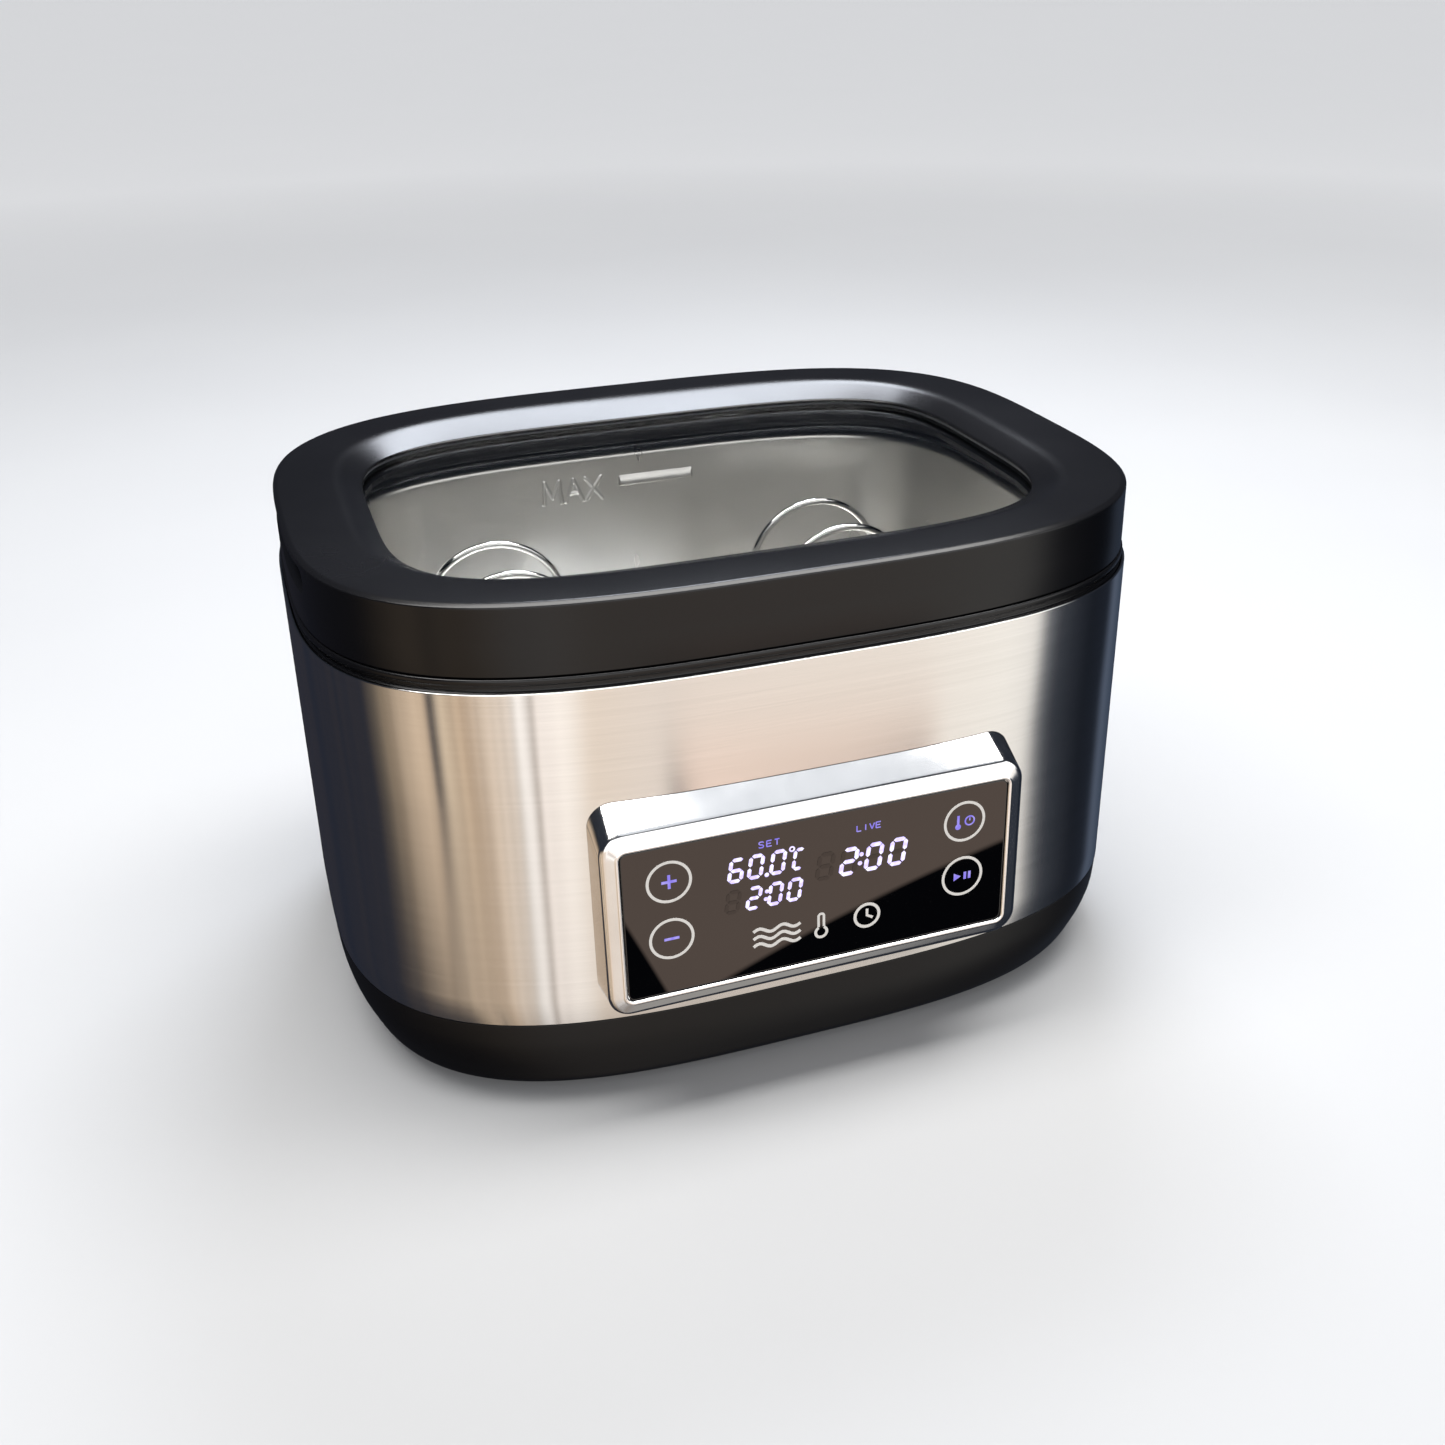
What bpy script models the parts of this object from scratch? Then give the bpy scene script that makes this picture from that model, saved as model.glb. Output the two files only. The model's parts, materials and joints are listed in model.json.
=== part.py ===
"""Counter-top sous vide water bath, modelled as its separate pieces.

Units are metres, +Z is up, the control panel faces -Y and +X is to the right of someone facing it.
The origin is under the middle of the whole object, on the surface that it stands on.

Every casing follows one family of outlines: superellipses, which are rounded rectangles whose long
sides bow out a little. A casing is a closed section swept round such outlines.
"""
from collections import namedtuple
from math import cos, pi, radians, sin

import bmesh
import bpy
from mathutils import Vector

# ---------------------------------------------------------------- driving dimensions
GAP = 0.0003                    # clearance between neighbouring solids
OUTLINE_POINTS = 40             # points round each casing

Outline = namedtuple("Outline", "half_x half_y exponent")

LID_TOP = Outline(0.1700, 0.1319, 3.30)
LID_FOOT = Outline(0.1705, 0.1324, 3.30)
BEVEL = Outline(0.1439, 0.1097, 3.60)       # where the lid's top starts to slope down
WINDOW = Outline(0.1340, 0.0919, 4.10)      # clear opening over the glass
GLASS_SEAT = Outline(0.1395, 0.0975, 4.00)
DOWNSTAND = Outline(0.1505, 0.1118, 3.60)   # inner wall of the lid frame
RIM = Outline(0.1709, 0.1328, 3.30)
RIM_OPENING = Outline(0.1499, 0.1111, 3.60)
TANK_MOUTH = Outline(0.1484, 0.1096, 3.60)
TANK_WAIST = Outline(0.1430, 0.1045, 3.60)  # end of the straight wall, above the floor's radius
TANK_FLOOR = Outline(0.1260, 0.0875, 3.60)
SHELL_TOP = Outline(0.1722, 0.1341, 3.30)
SHELL_FOOT = Outline(0.1742, 0.1362, 3.30)

BODY_Y = 0.0055                 # casing centre, so that panel and inlet balance about the origin

FOOT_HEIGHT = 0.0020
BASE_FLOOR = 0.0025             # thickness of the base's floor
SHELL_FOOT_Z = 0.0404
SHELL_TOP_Z = 0.1815
TANK_FLOOR_Z = 0.0480           # underside of the tank's floor
TANK_TOP_Z = 0.1863             # top of the tank's flange
RIM_LIP_Z = 0.1865              # outer lip, under the lid's skirt
RIM_TOP_Z = 0.1891              # raised inner ledge that carries the lid
LID_FOOT_Z = RIM_LIP_Z + GAP
LID_TOP_Z = 0.2138
WINDOW_Z = 0.2075
SEAT_Z = 0.2064                 # underside of the lip over the glass
LID_GLASS_THICKNESS = 0.0040
LID_GASKET_THICKNESS = 0.0010
SHEET = 0.0010                  # stainless sheet
POCKET_HALF_LENGTH = 0.058
POCKET_LOW_Z = 0.2012
POCKET_HIGH_Z = 0.2118
POCKET_DEPTH = 0.0125

PANEL_Y = -0.1487               # front face of the control glass at its lower edge, from the body centre
PANEL_LEAN = 0.038              # the panel leans back by this much per unit of height
PANEL_LOW_Z = 0.05975
PANEL_HIGH_Z = 0.1224
PANEL_HALF_X = 0.0770
PANEL_GLASS_THICKNESS = 0.0020
BEZEL_LIP = 0.0020              # width of the flat lip round the glass
BEZEL_BEVEL = 0.0052            # width of the shallow bevel outside the lip
BEZEL_BEVEL_DEPTH = 0.0018
KEY_X = 0.0593
KEY_HIGH_Z = 0.1077
KEY_LOW_Z = 0.0833

HOOP_WIRE = 0.00175             # wire radii
RING_WIRE = 0.00195
WIRE_BEND = 0.006               # inside corners of the bent wires
RACK_RING = Outline(0.1200, 0.0820, 5.0)
RACK_RING_Z = 0.0560
RACK_ROW_Z = RACK_RING_Z + RING_WIRE + HOOP_WIRE + GAP
RACK_FOOT_X = 0.0700
HOOP_X = 0.0790
HOOP_RADIUS = 0.03225
HOOP_TOP_Z = 0.16675
HOOP_ROWS = (-0.057, -0.019, 0.019, 0.057)

SCREW_RADIUS = 0.0015
SCREW_HEAD_RADIUS = 0.0030
SCREW_HEAD_HEIGHT = 0.0012

BOARD_Z = 0.0125                # underside of the power board
BOARD_THICKNESS = 0.0016
BOARD_LOW = (-0.0850, BODY_Y - 0.0380)
BOARD_HIGH = (0.0350, BODY_Y + 0.0370)
BOSS_RADIUS = 0.0030
INLET_Z = 0.0245


# ---------------------------------------------------------------- materials
def material(name, colour, roughness, metallic=0.0, alpha=1.0):
    """Principled material with a plain colour."""
    made = bpy.data.materials.new(name)
    made.use_nodes = True
    shader = made.node_tree.nodes["Principled BSDF"]
    shader.inputs["Base Color"].default_value = (*colour, 1.0)
    shader.inputs["Roughness"].default_value = roughness
    shader.inputs["Metallic"].default_value = metallic
    shader.inputs["Alpha"].default_value = alpha
    return made


# ---------------------------------------------------------------- outlines
def grown(outline, amount):
    """The outline moved outwards by amount."""
    return Outline(outline.half_x + amount, outline.half_y + amount, outline.exponent)


def between(first, second, fraction):
    """The outline a fraction of the way from the first to the second."""
    return Outline(*(a + (b - a) * fraction for a, b in zip(first, second)))


def outline_point(outline, angle):
    """Point of a superellipse at a parameter angle, in the body's plan."""
    power = 2.0 / outline.exponent
    c, s = cos(angle), sin(angle)
    x = outline.half_x * abs(c) ** power * (1 if c >= 0 else -1)
    y = outline.half_y * abs(s) ** power * (1 if s >= 0 else -1)
    return x, y + BODY_Y


def ring(outline, z, points=OUTLINE_POINTS):
    """One closed ring of points at height z, counter-clockwise from above."""
    turn = 2 * pi / points
    return [(*outline_point(outline, turn * i), z) for i in range(points)]


def rounded_rectangle(low, high, corner, long_steps=10, short_steps=3, corner_steps=4):
    """Closed list of (u, v) points, counter-clockwise, with the long sides along u divided."""
    (u0, v0), (u1, v1) = low, high
    centres = ((u1 - corner, v0 + corner, -90), (u1 - corner, v1 - corner, 0),
               (u0 + corner, v1 - corner, 90), (u0 + corner, v0 + corner, 180))
    points = []
    for index, (u, v, start) in enumerate(centres):
        arc = [radians(start + 90 * step / corner_steps) for step in range(corner_steps + 1)]
        points += [(u + corner * cos(a), v + corner * sin(a)) for a in arc]
        following = centres[(index + 1) % 4]
        first = radians(following[2])
        target = (following[0] + corner * cos(first), following[1] + corner * sin(first))
        steps = long_steps if index % 2 else short_steps
        last = points[-1]
        for step in range(1, steps):
            share = step / steps
            points.append((last[0] + (target[0] - last[0]) * share,
                           last[1] + (target[1] - last[1]) * share))
    return points


# ---------------------------------------------------------------- mesh builders
def finish_object(name, bm, surface, origin=(0.0, 0.0, 0.0), smooth_angle=35):
    """Turn a bmesh in world coordinates into an object whose origin is at the given point."""
    bmesh.ops.recalc_face_normals(bm, faces=bm.faces)
    bmesh.ops.translate(bm, vec=[-c for c in origin], verts=bm.verts)
    mesh = bpy.data.meshes.new(name)
    bm.to_mesh(mesh)
    bm.free()
    mesh.shade_smooth()
    mesh.set_sharp_from_angle(angle=radians(smooth_angle))
    made = bpy.data.objects.new(name, mesh)
    made.location = origin
    if surface:
        mesh.materials.append(surface)
    bpy.context.scene.collection.objects.link(made)
    return made


def loft(bm, rings, closed):
    """Skin neighbouring rings of equal length; closed joins the last to the first, else both get caps."""
    loops = [[bm.verts.new(point) for point in points] for points in rings]
    pairs = list(zip(loops, loops[1:]))
    if closed:
        pairs.append((loops[-1], loops[0]))
    count = len(loops[0])
    for lower, upper in pairs:
        for i in range(count):
            j = (i + 1) % count
            bm.faces.new((lower[i], lower[j], upper[j], upper[i]))
    if not closed:
        bm.faces.new(reversed(loops[0]))
        bm.faces.new(loops[-1])


def swept(name, section, surface, closed=True, origin=(0.0, 0.0, 0.0)):
    """Casing from a section given as (outline, z) pairs."""
    bm = bmesh.new()
    loft(bm, [ring(outline, z) for outline, z in section], closed)
    return finish_object(name, bm, surface, origin)


def plate(name, outline, low, high, surface, origin=(0.0, 0.0, 0.0)):
    """Flat plate with a casing's outline."""
    return swept(name, [(outline, low), (outline, high)], surface, closed=False, origin=origin)


def block(name, low, high, surface, corner=0.001):
    """Upright box with rounded vertical edges, from its lowest to its highest corner."""
    flat = rounded_rectangle(low[:2], high[:2], corner, 1, 1, 3)
    bm = bmesh.new()
    loft(bm, [[(x, y, low[2]) for x, y in flat], [(x, y, high[2]) for x, y in flat]], closed=False)
    return finish_object(name, bm, surface)


def circle(centre, radius, z, sides):
    """Ring of points round an upright axis."""
    turn = 2 * pi / sides
    return [(centre[0] + radius * cos(turn * i), centre[1] + radius * sin(turn * i), z)
            for i in range(sides)]


def turned(name, centre, profile, surface, sides=16):
    """Solid turned about an upright axis, from (radius, z) pairs listed bottom to top."""
    bm = bmesh.new()
    loft(bm, [circle(centre, radius, z, sides) for radius, z in profile], closed=False)
    return finish_object(name, bm, surface, origin=(centre[0], centre[1], profile[0][1]))


def turned_cutter(name, centres, radius, low, high):
    """Hidden cutter made of one upright cylinder at each centre."""
    bm = bmesh.new()
    for centre in centres:
        loft(bm, [circle(centre, radius, z, 12) for z in (low, high)], closed=False)
    return as_tool(finish_object(name, bm, None))


def as_tool(made):
    """Mark an object as a construction tool that isn't a piece."""
    made.hide_render = True
    made.display_type = "WIRE"
    return made


def combine(target, tool, operation="DIFFERENCE"):
    """Add an exact Boolean to the target."""
    modifier = target.modifiers.new(tool.name, "BOOLEAN")
    modifier.operation = operation
    modifier.solver = "EXACT"
    modifier.object = tool


# ---------------------------------------------------------------- lid
def lid_screw_places():
    """Plan positions of the four retainer screws, in the middle of the lid's underside band."""
    band = between(GLASS_SEAT, DOWNSTAND, 0.5)
    return [outline_point(band, radians(angle)) for angle in (0, 90, 180, 270)]


def lid_glass_levels():
    """Heights of the gasket's and the glass's undersides, and of the retainer's top."""
    gasket_low = SEAT_Z - GAP - LID_GASKET_THICKNESS
    glass_low = gasket_low - GAP - LID_GLASS_THICKNESS
    return gasket_low, glass_low, glass_low - GAP


def lid_frame(surface):
    """Black ring with a skirt, a bevel down to the glass, and a pocket for fingers in each end."""
    underside = lid_glass_levels()[1]
    channel_z = POCKET_LOW_Z - 0.003
    ledge_z = RIM_TOP_Z + GAP
    section = [
        (LID_FOOT, LID_FOOT_Z),
        (LID_TOP, LID_TOP_Z - 0.0016),
        (grown(LID_TOP, -0.0004), LID_TOP_Z - 0.0006),
        (grown(LID_TOP, -0.0012), LID_TOP_Z),
        (grown(BEVEL, 0.0008), LID_TOP_Z - 0.0001),
        (between(BEVEL, WINDOW, 0.1), LID_TOP_Z - 0.0006),
        (between(BEVEL, WINDOW, 0.9), WINDOW_Z + 0.0007),
        (WINDOW, WINDOW_Z),
        (grown(WINDOW, 0.0002), SEAT_Z),
        (GLASS_SEAT, SEAT_Z),
        (GLASS_SEAT, underside),
        (DOWNSTAND, underside),
        (DOWNSTAND, ledge_z),
        (between(LID_FOOT, DOWNSTAND, 0.85), ledge_z),
        (between(LID_FOOT, DOWNSTAND, 0.83), channel_z),
        (between(LID_FOOT, DOWNSTAND, 0.19), channel_z),
        (between(LID_FOOT, DOWNSTAND, 0.175), LID_FOOT_Z),
    ]
    frame = swept("lid_frame", section, surface, origin=(0.0, BODY_Y, LID_FOOT_Z))
    for side, sign in (("left", -1), ("right", 1)):
        combine(frame, finger_pocket("pocket_cutter_" + side, sign))
    combine(frame, turned_cutter("lid_screw_cutter", lid_screw_places(), SCREW_RADIUS + GAP,
                                 underside - 0.001, underside + 0.0045))
    return frame


def finger_pocket(name, sign):
    """Cutter for a long shallow recess with round ends, set into one end of the lid's skirt."""
    half_height = (POCKET_HIGH_Z - POCKET_LOW_Z) / 2
    flat = rounded_rectangle((BODY_Y - POCKET_HALF_LENGTH, POCKET_LOW_Z),
                             (BODY_Y + POCKET_HALF_LENGTH, POCKET_HIGH_Z), half_height * 0.8, 4, 1, 4)
    inner_x = sign * (LID_TOP.half_x - POCKET_DEPTH)
    outer_x = sign * (LID_TOP.half_x + POCKET_DEPTH)
    bm = bmesh.new()
    loft(bm, [[(x, y, z) for y, z in flat] for x in (inner_x, outer_x)], closed=False)
    return as_tool(finish_object(name, bm, None))


def lid_pane(surface):
    """Toughened glass pane."""
    low = lid_glass_levels()[1]
    edge = grown(GLASS_SEAT, -GAP * 2)
    section = [(grown(edge, -0.0005), low), (edge, low + 0.0005),
               (edge, low + LID_GLASS_THICKNESS - 0.0005),
               (grown(edge, -0.0005), low + LID_GLASS_THICKNESS)]
    return swept("lid_glass", section, surface, closed=False, origin=(0.0, BODY_Y, low))


def lid_gasket(surface):
    """Flat silicone ring between the lip and the glass."""
    low = lid_glass_levels()[0]
    high = low + LID_GASKET_THICKNESS
    inner = grown(WINDOW, 0.0008)
    outer = grown(GLASS_SEAT, -GAP * 2)
    section = [(inner, low), (inner, high), (outer, high), (outer, low)]
    return swept("lid_gasket", section, surface, origin=(0.0, BODY_Y, low))


def lid_retainer(surface):
    """Ring screwed to the frame's underside, which holds the glass from below."""
    high = lid_glass_levels()[2]
    low = high - 0.0025
    inner = grown(WINDOW, 0.0005)
    outer = grown(DOWNSTAND, -0.0007)
    section = [(inner, low), (inner, high), (outer, high), (outer, low)]
    holder = swept("lid_retainer", section, surface, origin=(0.0, BODY_Y, low))
    combine(holder, turned_cutter("retainer_screw_cutter", lid_screw_places(), SCREW_RADIUS + GAP,
                                  low - 0.001, high + 0.001))
    return holder


def lid_screws(surface):
    """Four pan-head screws under the retainer."""
    retainer_low = lid_glass_levels()[2] - 0.0025
    for number, centre in enumerate(lid_screw_places(), 1):
        head = retainer_low - GAP
        profile = [(SCREW_HEAD_RADIUS * 0.7, head - SCREW_HEAD_HEIGHT),
                   (SCREW_HEAD_RADIUS, head - SCREW_HEAD_HEIGHT * 0.5), (SCREW_HEAD_RADIUS, head),
                   (SCREW_RADIUS, head), (SCREW_RADIUS, head + 0.0070)]
        turned("lid_screw_%d" % number, centre, profile, surface, sides=12)


# ---------------------------------------------------------------- casing
def top_rim(surface):
    """Collar that caps the shell, holds the tank's flange down and carries the lid."""
    def at(fraction):
        return between(RIM, RIM_OPENING, fraction)
    lip_underside = TANK_TOP_Z + 0.0013
    section = [
        (at(1.0), lip_underside),
        (at(1.0), RIM_TOP_Z - 0.0004),
        (at(0.98), RIM_TOP_Z),
        (at(0.36), RIM_TOP_Z),
        (at(0.32), RIM_LIP_Z),
        (at(0.005), RIM_LIP_Z),
        (at(-0.01), RIM_LIP_Z - 0.0010),
        (at(-0.01), RIM_LIP_Z - 0.0022),
        (at(0.05), RIM_LIP_Z - 0.0027),
        (at(0.05), SHELL_TOP_Z + GAP),
        (at(0.01), SHELL_TOP_Z - 0.0003),
        (at(0.01), SHELL_TOP_Z - 0.0075),
        (at(0.12), SHELL_TOP_Z - 0.0075),
        (at(0.12), RIM_LIP_Z - 0.0030),
        (at(0.55), RIM_LIP_Z - 0.0030),
        (at(0.55), lip_underside),
    ]
    return swept("top_rim", section, surface)


def tank_seal(surface):
    """Silicone ring between the tank's flange and the rim."""
    low = TANK_TOP_Z + GAP
    high = low + 0.0007
    inner = between(RIM, RIM_OPENING, 0.97)
    outer = between(RIM, RIM_OPENING, 0.62)
    section = [(inner, low), (inner, high), (outer, high), (outer, low)]
    return swept("tank_seal", section, surface)


def outer_shell(surface):
    """Stainless wrap, open behind the control panel."""
    section = [
        (SHELL_FOOT, SHELL_FOOT_Z),
        (SHELL_TOP, SHELL_TOP_Z - 0.0004),
        (grown(SHELL_TOP, -0.0003), SHELL_TOP_Z),
        (grown(SHELL_TOP, -SHEET), SHELL_TOP_Z),
        (grown(SHELL_FOOT, -SHEET), SHELL_FOOT_Z),
    ]
    shell = swept("outer_shell", section, surface)
    front = BODY_Y - SHELL_FOOT.half_y
    cutter = as_tool(block("shell_window_cutter", (-0.060, front - 0.02, PANEL_LOW_Z + 0.010),
                           (0.060, front + 0.02, PANEL_HIGH_Z - 0.008), None))
    combine(shell, cutter)
    return shell


def inner_tank(surface):
    """Deep-drawn tank with a rolled flange and a large radius round its floor."""
    flange = between(RIM, RIM_OPENING, 0.60)
    top = TANK_TOP_Z
    radius_z = 0.022
    section = [
        (TANK_FLOOR, TANK_FLOOR_Z),
        (between(TANK_FLOOR, TANK_WAIST, 0.55), TANK_FLOOR_Z + radius_z * 0.16),
        (between(TANK_FLOOR, TANK_WAIST, 0.87), TANK_FLOOR_Z + radius_z * 0.50),
        (TANK_WAIST, TANK_FLOOR_Z + radius_z),
        (TANK_MOUTH, top - 0.0035),
        (grown(TANK_MOUTH, 0.0010), top - SHEET - 0.0002),
        (flange, top - SHEET),
        (flange, top),
        (grown(TANK_MOUTH, 0.0005), top),
        (grown(TANK_MOUTH, -SHEET * 0.6), top - 0.0006),
        (grown(TANK_MOUTH, -SHEET), top - 0.0035),
        (grown(TANK_WAIST, -SHEET), TANK_FLOOR_Z + radius_z),
        (grown(between(TANK_FLOOR, TANK_WAIST, 0.87), -SHEET * 0.9), TANK_FLOOR_Z + radius_z * 0.52),
        (grown(between(TANK_FLOOR, TANK_WAIST, 0.55), -SHEET * 0.5), TANK_FLOOR_Z + radius_z * 0.20),
        (TANK_FLOOR, TANK_FLOOR_Z + SHEET),
    ]
    return swept("inner_tank", section, surface, closed=False)


def base_housing(surface):
    """Tub with a rolled lower edge, an upstand inside the shell and a service opening below."""
    def at(inset):
        return grown(SHELL_FOOT, -inset)
    ledge_z = SHELL_FOOT_Z - GAP
    floor_z = FOOT_HEIGHT + BASE_FLOOR
    section = [
        (at(0.0002), ledge_z),
        (at(0.0006), 0.0250),
        (at(0.0022), 0.0120),
        (at(0.0055), 0.0052),
        (at(0.0095), FOOT_HEIGHT + 0.0004),
        (at(0.0120), FOOT_HEIGHT),
        (at(0.0450), FOOT_HEIGHT),
        (at(0.0450), floor_z),
        (at(0.0125), floor_z),
        (at(0.0055), 0.0130),
        (at(0.0036), 0.0250),
        (at(0.0036), 0.0480),
        (at(0.0015), 0.0480),
        (at(0.0015), ledge_z),
    ]
    base = swept("base_housing", section, surface)
    combine(base, turned_cutter("base_screw_cutter", cover_screw_places(), SCREW_RADIUS + GAP,
                                FOOT_HEIGHT - 0.001, floor_z + 0.001))
    rear = BODY_Y + SHELL_FOOT.half_y
    cutter = as_tool(block("inlet_cutter", (-0.0138, rear - 0.008, INLET_Z - 0.01005),
                           (0.0138, rear + 0.008, INLET_Z + 0.01005), None, corner=0.0005))
    combine(base, cutter)
    return base


def cover_screw_places():
    """Plan positions of the four screws that hold the bottom cover."""
    line = grown(SHELL_FOOT, -0.0400)
    return [outline_point(line, radians(angle)) for angle in (0, 90, 180, 270)]


def bottom_cover(surface):
    """Plate over the service opening, with a row of cooling slots and four bosses for the board."""
    low = FOOT_HEIGHT + BASE_FLOOR + GAP
    cover = plate("bottom_cover", grown(SHELL_FOOT, -0.0353), low, low + 0.0022, surface)
    combine(cover, turned_cutter("cover_screw_cutter", cover_screw_places(), SCREW_RADIUS + GAP,
                                 low - 0.001, low + 0.004))
    slots = bmesh.new()
    for number in range(6):
        x = 0.012 * (number - 2.5)
        flat = rounded_rectangle((x - 0.0018, BODY_Y + 0.046), (x + 0.0018, BODY_Y + 0.076), 0.0015, 1, 1, 2)
        loft(slots, [[(u, v, z) for u, v in flat] for z in (low - 0.001, low + 0.004)], closed=False)
    combine(cover, as_tool(finish_object("vent_cutter", slots, None)))
    bosses = bmesh.new()
    for centre in board_corners():
        loft(bosses, [circle(centre, BOSS_RADIUS, z, 12) for z in (low + 0.001, BOARD_Z - GAP)], closed=False)
    combine(cover, as_tool(finish_object("boss_tool", bosses, None)), "UNION")
    return cover


def cover_screws(surface):
    """Four pan-head screws, driven up from below."""
    for number, centre in enumerate(cover_screw_places(), 1):
        head = FOOT_HEIGHT - GAP
        profile = [(SCREW_HEAD_RADIUS * 0.7, head - SCREW_HEAD_HEIGHT),
                   (SCREW_HEAD_RADIUS, head - SCREW_HEAD_HEIGHT * 0.5), (SCREW_HEAD_RADIUS, head),
                   (SCREW_RADIUS, head), (SCREW_RADIUS, head + 0.0062)]
        turned("cover_screw_%d" % number, centre, profile, surface, sides=12)


def rubber_feet(surface):
    """Four bumpers under the corners."""
    line = grown(SHELL_FOOT, -0.0260)
    for number, angle in enumerate((45, 135, 225, 315), 1):
        centre = outline_point(line, radians(angle))
        profile = [(0.0085, 0.0), (0.0095, 0.0005), (0.0095, FOOT_HEIGHT - GAP)]
        turned("foot_%d" % number, centre, profile, surface)


# ---------------------------------------------------------------- rack
def tube(path, radius, closed=False, sides=6):
    """bmesh of a round wire along points, with flat ends; the frame is carried along the path."""
    points = [Vector(p) for p in path]
    count = len(points)
    turn = 2 * pi / sides
    rings = []
    side = None
    for i, point in enumerate(points):
        before = points[i - 1] if (i or closed) else point
        after = points[(i + 1) % count] if (i + 1 < count or closed) else point
        along = (after - before).normalized()
        if side is None:
            side = along.orthogonal().normalized()
        side = (side - along * side.dot(along)).normalized()
        other = along.cross(side)
        rings.append([point + (side * cos(turn * k) + other * sin(turn * k)) * radius
                      for k in range(sides)])
    bm = bmesh.new()
    loft(bm, rings, closed)
    return bm


def hoop_arc(x):
    """Half circle over the top of one hoop, as (x, z) pairs."""
    centre_z = HOOP_TOP_Z - HOOP_RADIUS
    return [(x - HOOP_RADIUS * cos(pi * i / 10), centre_z + HOOP_RADIUS * sin(pi * i / 10))
            for i in range(11)]


def bend(corner, start_direction, end_direction):
    """Three points that round a right-angled corner of a wire, as (x, z) pairs."""
    steps = (0.0, pi / 4, pi / 2)
    (sx, sz), (ex, ez) = start_direction, end_direction
    x, z = corner[0] + (ex - sx) * WIRE_BEND, corner[1] + (ez - sz) * WIRE_BEND
    return [(x + WIRE_BEND * (sx * sin(a) - ex * cos(a)), z + WIRE_BEND * (sz * sin(a) - ez * cos(a)))
            for a in steps]


def rack_row_path(y):
    """One wire from end to end of the rack, which rises over a hoop on the left and one on the right."""
    rail_end = RACK_RING.half_x
    right, left, up, down = (1, 0), (-1, 0), (0, 1), (0, -1)
    path = [(-rail_end, RACK_ROW_Z)]
    for x in (-HOOP_X, HOOP_X):
        path += bend((x - HOOP_RADIUS, RACK_ROW_Z), right, up)
        path += hoop_arc(x)
        path += bend((x + HOOP_RADIUS, RACK_ROW_Z), down, right)
    path.append((rail_end, RACK_ROW_Z))
    return [(x, y, z) for x, z in path]


def bag_rack(surface):
    """Wire rack that keeps the bags apart: a base ring on four feet, and bent wires welded across it."""
    origin = (0.0, BODY_Y, RACK_RING_Z)
    base = finish_object("rack_ring", tube(ring(RACK_RING, RACK_RING_Z, 32), RING_WIRE, True), surface, origin)
    reach = (1.0 - (RACK_FOOT_X / RACK_RING.half_x) ** RACK_RING.exponent) ** (1.0 / RACK_RING.exponent)
    places = [(x, side * RACK_RING.half_y * reach + BODY_Y)
              for x in (-RACK_FOOT_X, RACK_FOOT_X) for side in (-1, 1)]
    for number, (x, y) in enumerate(places, 1):
        foot = tube([(x, y, RACK_RING_Z + RING_WIRE * 0.2), (x, y, TANK_FLOOR_Z + SHEET + GAP)], HOOP_WIRE)
        combine(base, as_tool(finish_object("rack_foot_%d" % number, foot, None)), "UNION")
    for number, row in enumerate(HOOP_ROWS, 1):
        finish_object("rack_wire_%d" % number, tube(rack_row_path(row + BODY_Y), HOOP_WIRE), surface, origin)


# ---------------------------------------------------------------- heating
def heating_stack(aluminium, silicone, fibre, steel, white):
    """Everything that is stacked under the tank's floor."""
    pad_high = TANK_FLOOR_Z - GAP
    pad_low = pad_high - 0.0020
    clamp_low = pad_low - GAP - 0.0012
    fibre_low = clamp_low - GAP - 0.0079
    shield_low = fibre_low - GAP - 0.0012
    plate("heating_pad", Outline(0.105, 0.070, 4.0), pad_low, pad_high, silicone)
    plate("heater_clamp_plate", Outline(0.110, 0.075, 4.0), clamp_low, pad_low - GAP, aluminium)
    plate("insulation_pad", Outline(0.112, 0.077, 4.0), fibre_low, clamp_low - GAP, fibre)
    plate("heat_shield", Outline(0.150, 0.112, 3.4), shield_low, fibre_low - GAP, steel)
    sensor_profile = [(0.0025, pad_high - 0.006), (0.0040, pad_high - 0.0045), (0.0040, pad_high)]
    turned("tank_sensor", (0.1195, BODY_Y), sensor_profile, steel)
    cutout_profile = [(0.0055, pad_high - 0.007), (0.0055, pad_high - 0.003),
                      (0.0065, pad_high - 0.003), (0.0065, pad_high)]
    turned("thermal_cutout", (-0.1195, BODY_Y), cutout_profile, white)
    floor_z = FOOT_HEIGHT + BASE_FLOOR + GAP
    line = grown(SHELL_FOOT, -0.0230)
    for number, angle in enumerate((45, 135, 225, 315), 1):
        centre = outline_point(line, radians(angle))
        profile = [(0.0050, floor_z), (0.0040, floor_z + 0.002), (0.0040, shield_low - GAP)]
        turned("shield_pillar_%d" % number, centre, profile, steel, sides=12)


def insulation_wrap(surface):
    """Fibre blanket round the tank's wall."""
    high = SHELL_TOP_Z - 0.010
    low = TANK_FLOOR_Z + 0.030
    top = grown(TANK_MOUTH, 0.0015)
    bottom = grown(TANK_WAIST, 0.0020)
    section = [(bottom, low), (grown(bottom, 0.009), low), (grown(top, 0.009), high), (top, high)]
    return swept("insulation_wrap", section, surface)


# ---------------------------------------------------------------- electronics
def board_corners():
    """Plan positions of the bosses under the power board."""
    (left, front), (right, back) = BOARD_LOW, BOARD_HIGH
    inset = 2 * BOSS_RADIUS
    return [(x, y) for x in (left + inset, right - inset) for y in (front + inset, back - inset)]


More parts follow.
